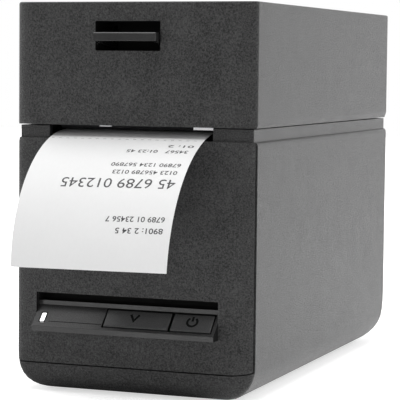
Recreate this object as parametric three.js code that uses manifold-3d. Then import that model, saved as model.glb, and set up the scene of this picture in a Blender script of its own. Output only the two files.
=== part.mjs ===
// Desktop label printer with a top lid, as an assembly of its separate pieces.
// Millimetres, +Z up, +X to the right of someone facing the front, which looks along -Y.
// Places are given from the casing's left face (x), its front face (y) and the table (z).
// The last lines move the whole machine so that its box stands centred on the origin.
import * as THREE from "three";
import { mergeVertices } from "three/addons/utils/BufferGeometryUtils.js";
import Module from "manifold-3d";

const wasm = await Module();
wasm.setup();

// Overall sizes: the width follows from the label and the room on each side of it
const depth = 225;
const height = 181.2;
const labelWidth = 76.2;
const leftRoom = 17.3;
const plateMarginRight = 8.7;
const gearStandOff = 1.8;
const gearWidth = 5;
const latchRoom = 9;
const rightRoom = plateMarginRight + gearStandOff + gearWidth + latchRoom;
const width = leftRoom + labelWidth + rightRoom;
const lidTall = 56.4;
const neckTall = 6.2;
const lidBottom = height - lidTall;
const casingTop = lidBottom - neckTall;
const lidGap = 0.5;
const footStand = 1.2;
const seamHeight = 13.1;

// Walls and clearances
const wall = 2.5;
const lidWall = 2.4;
const thinWall = 1.6;
const seamGap = 0.55;
const cornerSeamGap = 1;
const fitGap = 0.1;
const slipGap = 0.3;
const overrun = 2;

// Casing form
const cornerRadius = 3;
const cornerReach = 8;
const baseCornerRadius = 2.4;
const neckCornerRadius = 0.6;
const innerCornerRadius = 0.6;
const baseFrontRadius = 7;
const baseSideRadius = 15.5;
const baseRearRadius = 26.4;
const neckInset = 1.6;
const neckWall = 3;
const skirtDepth = 11;
const shoulderWidth = 1.5;
const shoulderFrontHeight = 2;
const shoulderRearHeight = 3.7;
const coverDepth = 1.8;
const seamRise = 1.8;
const seamRiseLength = 14;
const coverEdge = 0.5;
const flangeReach = 6;
const lipHeight = 3;

// Lid form
const lidEdge = 1;
const bevelFrontHeight = 1;
const bevelFrontWidth = 0.5;
const bevelRearHeight = 3.2;
const bevelRearWidth = 1.4;
const lidOpenRoom = 3;

// Label path
const labelLeft = leftRoom;
const labelThickness = 0.2;
const labelLift = 0.25;
const labelCurlLeft = 60.5;
const labelCurlRight = 67.5;
const labelFreeLeft = 73.6;
const labelFreeRight = 74.6;
const labelExitAngle = 19.6;
const labelEntryAngle = 3;
const slotMarginLeft = 0.9;
const slotMarginRight = 3.6;
const rollFrontRoom = 17.2;
const coreBore = 12.7;
const coreWall = 1.8;

// Platen and its gears
const platenDistance = 17;
const platenRadius = 7.5;
const platenOverhang = 6.3;
const shaftRadius = 3;
const bushRadius = 5;
const bushFlange = 1;
const gearModule = 0.8;
const platenTeeth = 22;
const idlerTeeth = 40;
const motorTeeth = 12;
const motorDistance = 32;
const motorDrop = 38.6;
const motorSize = 35;
const motorLength = 24;
const motorShaftRadius = 2.5;
const postRadius = 2;

// Mechanism frame
const plateThickness = 1.2;
const plateMarginLeft = 6;
const plateFront = 7;
const plateRear = 57;
const plateDrop = 59.6;
const deckThickness = 1.5;
const deckFront = 28;
const deckLeg = 3.5;
const webRoom = 0.8;

// Control panel
const panelLeft = 10.8;
const panelMarginRight = 17.2;
const panelRise = 15.9;
const panelTall = 17.4;
const panelReach = 5.6;
const panelLipHeight = 2.4;
const panelShell = 2;
const panelDepth = 3.4;
const panelPocket = 6;
const panelRibHeight = 2;
const keyGap = 0.4;
const keyLowGap = 0.7;
const keyLow = 4.1;
const keyTravel = 0.8;
const feedKeyWidth = 32.3;
const powerKeyWidth = 20;
const keySplit = 0.7;
const keyMargin = 1.9;
const lightMargin = 2.9;
const lightWidth = 2.6;
const lightRound = 0.6;
const keyThickness = 2.2;
const plungerLength = 3.5;
const switchHeight = 1.6;
const boardThickness = 1.6;

// Latch and its release lever
const recessShift = 0.5;
const recessWidth = 32;
const recessDrop = 8.8;
const recessHeight = 13.5;
const recessRound = 0.5;
const pocketDepth = 20;
const barWidth = 30.8;
const barRise = 4.4;
const barHeight = 3.9;
const barReach = 4.3;
const barDepth = 7;
const barEdge = 0.4;
const cheekThickness = 1.7;
const leverDistance = 34;
const leverDrop = 2.5;
const leverShaftRadius = 2.5;
const leverSleeve = 2.2;
const hookThickness = 2.4;
const hookArm = 4.5;
const hookNose = 4.5;
const catchRadius = 1.5;
const catchDrop = 3.4;
const leverRibThickness = 2;

// Hinge
const hingeClear = 0.35;
const hingeBarrel = (neckTall - lidGap) / 2 - hingeClear;
const hingeInset = 3;
const hingePinRadius = hingeBarrel / 2;
const hingeLeft = 16;
const hingeLug = 6;
const hingeKnuckle = 15.2;
const leafHeight = 18;

// Print head
const headFront = 10;
const headRear = 42;
const headThickness = 7;
const headPivotDistance = 50;
const headPivotRise = 10.7;
const headPivotRadius = 1.5;
const headOverhang = 2;
const tearBarThickness = 1;
const tearBarDrop = 1.2;
const tearNubDrop = 0.5;
const tearNubLeft = 24.2;
const tearNubLength = 6;
const tearBarHeight = 9;
const tearTabLength = 9.4;

// Label bay
const bayRoom = 3;
const bayWall = 2;
const bayFloor = 15.2;
const bayTopDrop = 2.1;
const bayFrontGap = 3;
const bayEndInset = 4.9;
const guideThickness = 2.6;
const guideRoom = 0.5;
const guideDisc = 24;
const guideLeg = 16;
const guideTravel = 6;
const hubReach = 5;
const rackPitchDistance = 4;
const rackTeethShown = 8;
const rackHeight = 3.5;
const rackBack = 4;
const pinionTeeth = 10;
const rackOverlap = 16;

// Boards, sockets, base cover and feet
const boardLift = 3.3;
const mainBoardLength = 62;
const processorSize = 16;
const processorTall = 1.6;
const memoryWidth = 9;
const memoryLength = 12;
const memoryTall = 2.2;
const headerWidth = 20;
const headerLength = 9;
const headerTall = 6;
const coilWidth = 8;
const coilLength = 18;
const coilTall = 8;
const stripWidth = 26;
const stripSize = 5;
const rearBoardHeight = 30;
const rearBoardLength = 25;
const socketRecess = 0.6;
const socketDepth = 18;
const socketWall = 1.2;
const networkSize = { fromMiddle: -31, width: 16, height: 13.5 };
const usbSize = { fromMiddle: -3, width: 12, height: 11 };
const powerSize = { fromMiddle: 23, width: 14, height: 12 };
const footRadius = 7;
const footPocket = 0.8;
const footInset = 24;
const baseRim = 1.5;

// Colours
const plastic = { color: 0x3b3b3d, roughness: 0.75, metalness: 0 };
const darkPlastic = { color: 0x1d1d1f, roughness: 0.7, metalness: 0 };
const keyPlastic = { color: 0x343436, roughness: 0.6, metalness: 0 };
const steel = { color: 0x9a9ca0, roughness: 0.35, metalness: 1 };
const aluminium = { color: 0xb4b6b9, roughness: 0.4, metalness: 1 };
const rubber = { color: 0x151515, roughness: 0.95, metalness: 0 };
const paper = { color: 0xf4f4f2, roughness: 0.9, metalness: 0 };
const cardboard = { color: 0x9b7a52, roughness: 0.95, metalness: 0 };
const boardGreen = { color: 0x1d4a2c, roughness: 0.6, metalness: 0 };
const brass = { color: 0xb08d43, roughness: 0.4, metalness: 1 };
const lens = { color: 0xffffff, roughness: 0.3, metalness: 0 };
const gearPlastic = { color: 0xdedad0, roughness: 0.6, metalness: 0 };

// Turns a closed three.js geometry into a solid that can be joined and cut.
function solid(geometry) {
  const bare = geometry.index ? geometry.toNonIndexed() : geometry.clone();
  bare.deleteAttribute("normal");
  bare.deleteAttribute("uv");
  const merged = mergeVertices(bare, 1e-4);
  return new wasm.Manifold(
    new wasm.Mesh({
      numProp: 3,
      vertProperties: new Float32Array(merged.attributes.position.array),
      triVerts: new Uint32Array(merged.index.array),
    }),
  );
}

// Turns a solid back into a geometry with flat-shaded faces.
function geometryOf(body) {
  const mesh = body.getMesh();
  const places = new Float32Array(mesh.numVert * 3);
  for (let i = 0; i < mesh.numVert; i++) {
    const at = i * mesh.numProp;
    places.set(mesh.vertProperties.subarray(at, at + 3), i * 3);
  }
  const geometry = new THREE.BufferGeometry();
  geometry.setAttribute("position", new THREE.BufferAttribute(places, 3));
  geometry.setIndex(new THREE.BufferAttribute(new Uint32Array(mesh.triVerts), 1));
  geometry.computeVertexNormals();
  return geometry;
}

function join(first, ...others) {
  return others.reduce((body, other) => body.add(other), first);
}

function cut(first, ...tools) {
  return tools.reduce((body, tool) => body.subtract(tool), first);
}

// A block between two corners, given as pairs of limits along x, y and z.
function block([x0, x1], [y0, y1], [z0, z1]) {
  const geometry = new THREE.BoxGeometry(x1 - x0, y1 - y0, z1 - z0);
  geometry.translate((x0 + x1) / 2, (y0 + y1) / 2, (z0 + z1) / 2);
  return solid(geometry);
}

function outline(points) {
  return new THREE.Shape(points.map(([u, v]) => new THREE.Vector2(u, v)));
}

const alongX = new THREE.Matrix4().set(0, 0, 1, 0, 1, 0, 0, 0, 0, 1, 0, 0, 0, 0, 0, 1);
const alongY = new THREE.Matrix4().set(1, 0, 0, 0, 0, 0, -1, 0, 0, 1, 0, 0, 0, 0, 0, 1);

// Extrudes an outline: drawn in (y, z) and run along x, drawn in (x, z) and run along y,
// or drawn in (x, y) and run along z.
function extrude(shape, length) {
  return new THREE.ExtrudeGeometry(shape, { depth: length, bevelEnabled: false });
}

function prismX(shape, [x0, x1]) {
  return solid(extrude(shape, x1 - x0).applyMatrix4(alongX).translate(x0, 0, 0));
}

function prismY(shape, [y0, y1]) {
  return solid(extrude(shape, y1 - y0).applyMatrix4(alongY).translate(0, y1, 0));
}

function prismZ(shape, [z0, z1]) {
  return solid(extrude(shape, z1 - z0).translate(0, 0, z0));
}

// A rod along x about the axis through (y, z).
function rodX([x0, x1], [y, z], radius, sides = 24) {
  const geometry = new THREE.CylinderGeometry(radius, radius, x1 - x0, sides);
  geometry.rotateZ(-Math.PI / 2);
  geometry.translate((x0 + x1) / 2, y, z);
  return solid(geometry);
}

// A rod along z about the axis through (x, y).
function rodZ([z0, z1], [x, y], radius, sides = 24) {
  const geometry = new THREE.CylinderGeometry(radius, radius, z1 - z0, sides);
  geometry.rotateX(Math.PI / 2);
  geometry.translate(x, y, (z0 + z1) / 2);
  return solid(geometry);
}

// A rod along y about the axis through (x, z).
function rodY([y0, y1], [x, z], radius, sides = 24) {
  const geometry = new THREE.CylinderGeometry(radius, radius, y1 - y0, sides);
  geometry.translate(x, (y0 + y1) / 2, z);
  return solid(geometry);
}

// One level of a moulded box at height z: a rectangle in plan whose corners are quarter
// ellipses, which may run further across the front and rear than along the sides. Their
// points are spaced by the way the wall faces.
const cornerSteps = 8;
function planRing(z, [x0, x1], [y0, y1], radius, reach = radius) {
  const ry = Math.min(radius, (y1 - y0) / 2);
  const rx = Math.min(reach, (x1 - x0) / 2);
  const centres = [
    [x1 - rx, y0 + ry, -Math.PI / 2],
    [x1 - rx, y1 - ry, 0],
    [x0 + rx, y1 - ry, Math.PI / 2],
    [x0 + rx, y0 + ry, Math.PI],
  ];
  return centres.flatMap(([cx, cy, start]) =>
    Array.from({ length: cornerSteps + 1 }, (_, i) => {
      const facing = start + (i / cornerSteps) * (Math.PI / 2);
      const across = rx * Math.cos(facing);
      const along = ry * Math.sin(facing);
      const size = Math.hypot(across, along);
      return [cx + (rx * across) / size, cy + (ry * along) / size, z];
    }),
  );
}

// Skins a stack of rings into one closed solid.
function loft(rings) {
  const count = rings[0].length;
  const places = rings.flat(2);
  const faces = [];
  for (let level = 0; level < rings.length - 1; level++) {
    for (let i = 0; i < count; i++) {
      const a = level * count + i;
      const b = level * count + ((i + 1) % count);
      faces.push(a, b, b + count, a, b + count, a + count);
    }
  }
  const top = (rings.length - 1) * count;
  for (let i = 1; i < count - 1; i++) {
    faces.push(0, i + 1, i);
    faces.push(top, top + i, top + i + 1);
  }
  const geometry = new THREE.BufferGeometry();
  geometry.setAttribute("position", new THREE.Float32BufferAttribute(places, 3));
  geometry.setIndex(faces);
  return solid(geometry);
}

// Sideways step of a rounded edge of that radius, at a height above its lowest line.
function edgeInset(radius, rise) {
  if (rise >= radius) return 0;
  return radius - Math.sqrt(radius * radius - (radius - rise) ** 2);
}

// The casing's outer form, or its cavity when it is drawn in by a wall.
function casingForm(inset, top) {
  const low = footStand + inset;
  const side = baseSideRadius - inset;
  const front = baseFrontRadius - inset;
  const rear = baseRearRadius - inset;
  const levels = 10;
  const rings = [];
  for (let i = 0; i <= levels; i++) {
    const rise = rear * (i / levels) ** 2;
    const grown = Math.min(1, rise / side);
    const radius = baseCornerRadius + (cornerRadius - baseCornerRadius) * grown;
    const reach = baseCornerRadius + (cornerReach - baseCornerRadius) * grown;
    rings.push(
      planRing(
        low + rise,
        [inset + edgeInset(side, rise), width - inset - edgeInset(side, rise)],
        [inset + edgeInset(front, rise), depth - inset - edgeInset(rear, rise)],
        Math.max(radius - inset, innerCornerRadius),
        Math.max(reach - inset, innerCornerRadius),
      ),
    );
  }
  const radius = Math.max(cornerRadius - inset, innerCornerRadius);
  const reach = Math.max(cornerReach - inset, innerCornerRadius);
  rings.push(planRing(top, [inset, width - inset], [inset, depth - inset], radius, reach));
  return loft(rings);
}

// Shaves an upper edge to a quarter ellipse whose height changes from front to rear.
const shoulderSteps = 4;
function shoulderSection(x, toOutside, sectionHeight) {
  const points = [
    [x - toOutside * shoulderWidth, casingTop + overrun],
    [x + toOutside * overrun, casingTop + overrun],
    [x + toOutside * overrun, casingTop - sectionHeight],
  ];
  for (let i = 0; i <= shoulderSteps; i++) {
    const angle = (i / shoulderSteps) * (Math.PI / 2);
    points.push([
      x - toOutside * shoulderWidth * (1 - Math.cos(angle)),
      casingTop - sectionHeight * (1 - Math.sin(angle)),
    ]);
  }
  return points;
}

// A bar along y that changes from one (x, z) section at the front to another at the rear.
function taperedBar(frontSection, rearSection) {
  const flat = frontSection.map(([x, z]) => new THREE.Vector2(x, z));
  const clockwise = THREE.ShapeUtils.area(flat) < 0;
  const front = clockwise ? [...frontSection].reverse() : frontSection;
  const rear = clockwise ? [...rearSection].reverse() : rearSection;
  const places = [
    ...front.map(([x, z]) => [x, -overrun, z]),
    ...rear.map(([x, z]) => [x, depth + overrun, z]),
  ];
  const count = front.length;
  const faces = [];
  for (let i = 0; i < count; i++) {
    const j = (i + 1) % count;
    faces.push(i, j + count, j, i, i + count, j + count);
  }
  const ordered = front.map(([x, z]) => new THREE.Vector2(x, z));
  for (const [a, b, c] of THREE.ShapeUtils.triangulateShape(ordered, [])) {
    faces.push(a, b, c, a + count, c + count, b + count);
  }
  const geometry = new THREE.BufferGeometry();
  geometry.setAttribute("position", new THREE.Float32BufferAttribute(places.flat(), 3));
  geometry.setIndex(faces);
  return solid(geometry);
}

// Involute gear outline, with a tooth centred on the angle given.
const toothPressure = (20 * Math.PI) / 180;
const toothAddendumShare = 0.8;
const toothDedendumShare = 1.25;
const toothBacklash = 0.12;
function gearShape(teeth, firstTooth) {
  const pitch = (gearModule * teeth) / 2;
  const base = pitch * Math.cos(toothPressure);
  const tip = pitch + toothAddendumShare * gearModule;
  const root = pitch - toothDedendumShare * gearModule;
  const involute = (angle) => Math.tan(angle) - angle;
  const halfTooth = ((Math.PI * gearModule) / 2 - toothBacklash) / 2 / pitch;
  const halfAngle = (r) => {
    const at = Math.acos(Math.min(1, base / r));
    return halfTooth + involute(toothPressure) - involute(at);
  };
  const radii = [root, Math.max(base, root), pitch, tip];
  const points = [];
  for (let i = 0; i < teeth; i++) {
    const centre = firstTooth + (i * 2 * Math.PI) / teeth;
    for (const r of radii) points.push([r, centre - halfAngle(Math.max(r, base))]);
    for (const r of [...radii].reverse()) {
      points.push([r, centre + halfAngle(Math.max(r, base))]);
    }
  }
  const unique = points.filter(([r, a], i) => {
    const [lastR, lastA] = points[(i + points.length - 1) % points.length];
    return Math.abs(r - lastR) > 1e-6 || Math.abs(a - lastA) > 1e-6;
  });
  return outline(unique.map(([r, a]) => [r * Math.cos(a), r * Math.sin(a)]));
}

// The printer as a group of named pieces
const printer = new THREE.Group();

function add(name, body, look) {
  const geometry = body.isBufferGeometry ? body : geometryOf(body);
  const mesh = new THREE.Mesh(geometry, new THREE.MeshStandardMaterial(look));
  mesh.name = name;
  printer.add(mesh);
  return mesh;
}

// Places that several pieces share
const middle = width / 2;
const neckTop = lidBottom - lidGap;
const skirtInset = wall + slipGap;
const rimInset = neckInset + neckWall;
const labelRight = labelLeft + labelWidth;
const labelMiddle = labelLeft + labelWidth / 2;
const slotLeft = labelLeft - slotMarginLeft;
const slotRight = labelRight + slotMarginRight;
const exitAngle = (labelExitAngle * Math.PI) / 180;
const entryAngle = (labelEntryAngle * Math.PI) / 180;
const exitHeight = casingTop + labelLift;
const pathRadius = platenDistance / (Math.sin(exitAngle) - Math.sin(entryAngle));
const printHeight = exitHeight + pathRadius * (Math.cos(entryAngle) - Math.cos(exitAngle));
const platenHeight = printHeight - labelThickness / 2 - slipGap - platenRadius;
const platenLength = labelWidth + platenOverhang;
const rollSlack = slipGap + labelThickness / 2;
const bayFront = plateRear + bayFrontGap;
const rollFront = bayFront + bayWall + bayRoom + rollFrontRoom;
const rollRise = (rollFront - platenDistance) * Math.tan(entryAngle);
const rollRoomHigh =
  (printHeight + rollRise - rollSlack / Math.cos(entryAngle) - bayRoom - bayFloor) /
  (1 + 1 / Math.cos(entryAngle) - Math.tan(entryAngle));
const rearRoom = wall + slipGap + rearBoardLength + bayWall + bayRoom;
const rollRadius = Math.min(rollRoomHigh, (depth - rearRoom - rollFront) / 2);
const rollDistance = rollFront + rollRadius;
const woundRadius = rollRadius + rollSlack;
const rollHeight = webHeight(rollDistance) - woundRadius / Math.cos(entryAngle);
const plateLeft = labelLeft - plateMarginLeft;
const plateRight = labelRight + plateMarginRight;
const plateFloor = casingTop - plateDrop;
const gearLeft = plateRight + gearStandOff;
const gearRight = gearLeft + gearWidth;
const hingeAxis = [depth - hingeInset, (casingTop + neckTop) / 2];
const catchHeight = casingTop - catchDrop;
const recessTop = height - recessDrop;
const recessLow = recessTop - recessHeight;
const leverHeight = recessLow - leverDrop;
const barLow = recessLow + barRise;
const headPivotHeight = printHeight + headPivotRise;
const baseInset = baseSideRadius - baseRim;

// How far the label's free end reaches forward of the front face, at either edge
function labelForward(curl, length) {
  const angle = exitAngle + length / curl;
  const reach = curl * (Math.sin(angle) - Math.sin(exitAngle));
  return reach + (labelThickness / 2) * Math.sin(angle);
}
const labelReach = Math.max(
  labelForward(labelCurlLeft, labelFreeLeft),
  labelForward(labelCurlRight, labelFreeRight),
);

// Height of the label's middle line above the table, inside the machine
function webHeight(y) {
  return printHeight + (y - platenDistance) * Math.tan(entryAngle);
}

// A rectangle with rounded corners
const roundSteps = 4;
function roundedShape([u0, u1], [v0, v1], radius) {
  const corners = [
    [u1 - radius, v0 + radius, -Math.PI / 2],
    [u1 - radius, v1 - radius, 0],
    [u0 + radius, v1 - radius, Math.PI / 2],
    [u0 + radius, v0 + radius, Math.PI],
  ];
  return outline(
    corners.flatMap(([u, v, start]) =>
      Array.from({ length: roundSteps + 1 }, (_, i) => {
        const angle = start + (i / roundSteps) * (Math.PI / 2);
        return [u + radius * Math.cos(angle), v + radius * Math.sin(angle)];
      }),
    ),
  );
}

// Lower edge of the front cover: level, but drawn up a little at its right corner
function coverRegion(lowered) {
  const low = seamHeight - lowered;
  const steps = 5;
  const points = [
    [-overrun, low],
    [width - seamRiseLength, low],
  ];
  for (let i = 1; i <= steps; i++) {
    const share = i / steps;
    points.push([width - seamRiseLength * (1 - share), low + seamRise * share * share]);
  }
  points.push([width + overrun, low + seamRise]);
  points.push([width + overrun, casingTop + overrun]);
  points.push([-overrun, casingTop + overrun]);
  return outline(points);
}

const casing = casingForm(0, casingTop);
const casingCavity = casingForm(wall, casingTop + overrun);

const shoulders = [
  taperedBar(
    shoulderSection(0, -1, shoulderFrontHeight),
    shoulderSection(0, -1, shoulderRearHeight),
  ),
  taperedBar(
    shoulderSection(width, 1, shoulderFrontHeight),
    shoulderSection(width, 1, shoulderRearHeight),
  ),
  prismX(outline(shoulderSection(depth, 1, shoulderFrontHeight)), [-overrun, width + overrun]),
];

const shaved = cut(casing, ...shoulders);

// Sockets along the back, as windows in the wall and as boxes on the rear board
const socketLow = rearBoardHeight + boardThickness;
const [networkSocket, usbSocket, powerInlet] = [networkSize, usbSize, powerSize].map((size) => ({
  left: middle + size.fromMiddle,
  width: size.width,
  height: size.height,
}));
const sockets = [networkSocket, usbSocket, powerInlet];

function socketWindow({ left, width: across, height: tall }) {
  return block(
    [left - slipGap, left + across + slipGap],
    [depth - wall - overrun, depth + overrun],
    [socketLow - slipGap, socketLow + tall + slipGap],
  );
}

// Main housing: tub with sides, back and rounded base, open at the front and the top
const baseOpening = {
  x: [baseInset, width - baseInset],
  y: [baseInset, depth - baseRearRadius],
};

function mainHousing() {
  const frontOpening = block(
    [wall, width - wall],
    [-overrun, rimInset],
    [seamHeight + lipHeight, casingTop + overrun],
  );
  const lip = block(
    [wall, width - wall],
    [coverDepth + seamGap, coverDepth + seamGap + thinWall],
    [seamHeight - lipHeight, seamHeight + lipHeight],
  );
  const hollow = cut(
    shaved,
    casingCavity,
    frontOpening,
    prismY(coverRegion(0), [-overrun, coverDepth + cornerSeamGap]),
  );
  const ribs = [0, 1].map((side) => {
    const x = side ? width - wall - thinWall : wall;
    return block(
      [x - slipGap, x + thinWall + slipGap],
      [depth / 2, depth / 2 + thinWall],
      [baseSideRadius, casingTop - skirtDepth - slipGap],
    );
  });
  return cut(
    join(hollow, lip, ...ribs),
    block(baseOpening.x, baseOpening.y, [0, footStand + wall + overrun]),
    ...sockets.map(socketWindow),
  );
}

// Front cover: plate that wraps the front corners, with flanges that locate it in the housing
const panelRight = width - panelMarginRight;
const panelLow = seamHeight + panelRise;
const panelTop = panelLow + panelTall;
const panelLipTop = panelLow + panelLipHeight;

function frontCover() {
  const region = prismY(coverRegion(-seamGap), [-overrun, coverDepth]);
  const plate = shaved.intersect(region);
  const flanges = [0, 1].map((side) => {
    const x = side ? width - skirtInset - thinWall : skirtInset;
    return block(
      [x, x + thinWall],
      [coverDepth - overrun / 2, coverDepth + flangeReach],
      [seamHeight + lipHeight + seamRise, casingTop - skirtDepth - slipGap],
    );
  });
  const ribs = [0.1, 0.55].map((share) => {
    const z = panelTop + (casingTop - panelTop) * share;
    return block(
      [skirtInset, width - skirtInset],
      [coverDepth - overrun / 2, coverDepth + thinWall],
      [z, z + thinWall],
    );
  });
  const softEdge = prismX(
    outline([
      [-overrun, casingTop + overrun],
      [-overrun, casingTop - coverEdge - overrun],
      [coverEdge + overrun, casingTop + overrun],
    ]),
    [-overrun, width + overrun],
  );
  return cut(
    join(plate, ...flanges, ...ribs),
    block(
      [panelLeft - fitGap, panelRight + fitGap],
      [-overrun, coverDepth + flangeReach + overrun],
      [panelLow - fitGap, panelTop + fitGap],
    ),
    softEdge,
  );
}

// Neck frame: the band between casing and lid, with its skirt, label slot and hinge lugs
const hingeRight = width - hingeLeft;
const hingeStations = [hingeLeft, hingeRight - 2 * hingeLug - hingeKnuckle];

function neckFrame() {
  const band = loft([
    planRing(casingTop, [neckInset, width - neckInset], [neckInset, depth - neckInset],
      neckCornerRadius),
    planRing(neckTop, [neckInset, width - neckInset], [neckInset, depth - neckInset],
      neckCornerRadius),
  ]);
  const skirt = loft([
    planRing(casingTop - skirtDepth, [skirtInset, width - skirtInset],
      [skirtInset, depth - skirtInset], cornerRadius),
    planRing(casingTop + thinWall, [skirtInset, width - skirtInset],
      [skirtInset, depth - skirtInset], cornerRadius),
  ]);
  const inside = loft([
    planRing(casingTop - skirtDepth - overrun, [rimInset, width - rimInset],
      [rimInset, depth - rimInset], cornerRadius / 2),
    planRing(neckTop + overrun, [rimInset, width - rimInset],
      [rimInset, depth - rimInset], cornerRadius / 2),
  ]);
  const slot = block([slotLeft, slotRight], [-overrun, rimInset + overrun],
    [casingTop, neckTop + overrun]);
  const exitLip = prismX(
    outline([
      [rimInset - overrun / 2, casingTop - thinWall * 2],
      [rimInset + thinWall, casingTop - thinWall * 2],
      [rimInset + thinWall * 2, casingTop - thinWall / 2],
      [rimInset + thinWall * 2, casingTop + slipGap],
      [rimInset - overrun / 2, casingTop],
    ]),
    [slotLeft + slipGap, slotRight - slipGap],
  );
  const hingeNotches = hingeStations.map((x) =>
    block(
      [x - slipGap, x + 2 * hingeLug + hingeKnuckle + slipGap],
      [depth - rimInset - overrun, depth],
      [casingTop, neckTop + overrun],
    ),
  );
  const lugs = hingeStations.flatMap((x) =>
    [x, x + hingeLug + hingeKnuckle].map((left) =>
      join(
        rodX([left, left + hingeLug], hingeAxis, hingeBarrel),
        block(
          [left, left + hingeLug],
          [depth - rimInset - thinWall, depth - skirtInset],
          [casingTop - skirtDepth, hingeAxis[1]],
        ),
      ),
    ),
  );
  const bores = hingeStations.map((x) =>
    rodX(
      [x + thinWall, x + 2 * hingeLug + hingeKnuckle - thinWall],
      hingeAxis,
      hingePinRadius + fitGap,
    ),
  );
  const ring = cut(join(band, skirt), inside, slot, ...hingeNotches);
  return cut(join(ring, exitLip, ...lugs), ...bores);
}

// Base cover: plate that closes the housing from below, with board posts and foot pockets
const footPlaces = [
  ["front_left", footInset, footInset + footPocket],
  ["front_right", width - footInset, footInset + footPocket],
  ["rear_left", footInset, depth - baseRearRadius - footInset / 2],
  ["rear_right", width - footInset, depth - baseRearRadius - footInset / 2],
];
const mainBoardLeft = baseInset;
const mainBoardWidth = width - baseInset * 2;
const mainBoardFront = baseInset;
const floorTop = footStand + wall;
const mainBoardLow = floorTop + boardLift;

function baseCover() {
  const plate = block(
    [baseOpening.x[0] + slipGap, baseOpening.x[1] - slipGap],
    [baseOpening.y[0] + slipGap, baseOpening.y[1] - slipGap],
    [footStand, floorTop],
  );
  const postInset = postRadius + thinWall;
  const posts = [0, 1].flatMap((side) =>
    [0, 1].map((end) =>
      rodZ(
        [footStand + thinWall, mainBoardLow],
        [
          side ? mainBoardLeft + mainBoardWidth - postInset : mainBoardLeft + postInset,
          end ? mainBoardFront + mainBoardLength - postInset : mainBoardFront + postInset * 1.5,
        ],
        postRadius,
      ),
    ),
  );
  const pockets = footPlaces.map(([, x, y]) =>
    rodZ([-overrun, footStand + footPocket], [x, y], footRadius + slipGap, 32),
  );
  return cut(join(plate, ...posts), ...pockets);
}

// Rubber foot, turned as one small profile
function foot() {
  const profile = [
    [0, 0],
    [footRadius - footPocket, 0],
    [footRadius, footPocket],
    [footRadius, footStand + footPocket],
    [0, footStand + footPocket],
  ].map(([r, z]) => new THREE.Vector2(r, z));
  const geometry = new THREE.LatheGeometry(profile, 32);
  geometry.rotateX(Math.PI / 2);
  return solid(geometry);
}

// Control panel: sloping shelf with its lip, a narrow ledge above it and a dark pocket over
// the ledge. The slope rises at 45 degrees from the lip, which stands in front of the cover.
const slopeHeight = panelLipTop + panelReach;
const slopeAngle = Math.PI / 4;
const slopeRun = Math.SQRT2;
const ledgeLow = slopeHeight + panelDepth;
const ledgeTop = ledgeLow + panelRibHeight;
const pocketBack = panelDepth + panelPocket;
const behindCover = coverDepth + fitGap;
const pocketCeiling = panelTop + fitGap;

function shelfOutline() {
  const inner = panelShell * slopeRun;
  return outline(
    [
      [-panelReach, panelLow],
      [-panelReach, panelLipTop],
      [panelDepth, ledgeLow],
      [panelDepth, ledgeTop],
      [pocketBack, ledgeTop],
      [pocketBack, pocketCeiling],
      [behindCover, pocketCeiling],
      [behindCover, pocketCeiling + plateThickness],
      [pocketBack + plateThickness, pocketCeiling + plateThickness],
      [pocketBack + plateThickness, ledgeTop - plateThickness],
      [panelDepth + panelShell, ledgeTop - plateThickness],
      [panelDepth + panelShell, ledgeLow + panelShell - inner],
      [-panelReach + panelShell, slopeHeight - panelReach + panelShell - inner],
      [-panelReach + panelShell, panelLow + panelShell / 2],
      [coverDepth, panelLow + panelShell / 2],
      [coverDepth, panelLow],
    ].reverse(),
  );
}

function shelfEndOutline() {
  return outline(
    [
      [-panelReach, panelLow],
      [-panelReach, panelLipTop],
      [panelDepth, ledgeLow],
      [panelDepth, ledgeTop],
      [panelDepth + panelShell, ledgeTop],
      [panelDepth + panelShell, panelLow],
    ].reverse(),
  );
}

// Moves a piece drawn flat, with its face at height zero, onto the panel's slope.
function onSlope(body) {
  const geometry = geometryOf(body);
  geometry.rotateX(slopeAngle);
  geometry.translate(0, 0, slopeHeight);
  return solid(geometry);
}

const powerKeyLeft = panelRight - keyMargin - powerKeyWidth;
const feedKeyLeft = powerKeyLeft - keySplit - feedKeyWidth;
const lightLeft = panelLeft + lightMargin;
const slopeLow = -keyLow * slopeRun;
const slopeTop = panelDepth * slopeRun - keyGap;
const lightSpan = [slopeLow + keyGap, fitGap];

function lightPrism(grow, levels) {
  return onSlope(
    prismZ(
      roundedShape(
        [lightLeft - grow, lightLeft + lightWidth + grow],
        [lightSpan[0] - grow, lightSpan[1] + grow],
        lightRound,
      ),
      levels,
    ),
  );
}

function controlPanel() {
  const shelfEnds = [panelLeft, panelRight - thinWall].map((x) =>
    prismX(shelfEndOutline(), [x, x + thinWall]),
  );
  const pocketEnds = [
    [panelLeft - thinWall, panelLeft + fitGap],
    [panelRight - fitGap, panelRight + thinWall],
  ].map((span) =>
    block(
      span,
      [behindCover, pocketBack + plateThickness],
      [panelLow, pocketCeiling + plateThickness],
    ),
  );
  const keyWindow = onSlope(
    block(
      [feedKeyLeft - keyGap, powerKeyLeft + powerKeyWidth + keyGap],
      [slopeLow - keyLowGap, slopeTop + keyGap],
      [-panelShell * 2, overrun],
    ),
  );
  const blankLeft = lightLeft + lightWidth + overrun;
  const groove = onSlope(
    block(
      [blankLeft, feedKeyLeft - keyGap * 2],
      [slopeLow + keyTravel, slopeLow + keyTravel + slipGap],
      [-slipGap, overrun],
    ),
  );
  const shell = prismX(shelfOutline(), [panelLeft, panelRight]);
  const shelf = join(shell, ...shelfEnds, ...pocketEnds);
  return cut(shelf, keyWindow, lightPrism(fitGap * 2, [-panelShell * 2, overrun]), groove);
}

// Keys: caps that fill their windows, each with a plunger over its switch
const plungerLow = -keyThickness - plungerLength;
const switchTop = plungerLow - keyTravel - fitGap;
const boardTop = switchTop - switchHeight;
const capEdge = 0.4;

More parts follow.
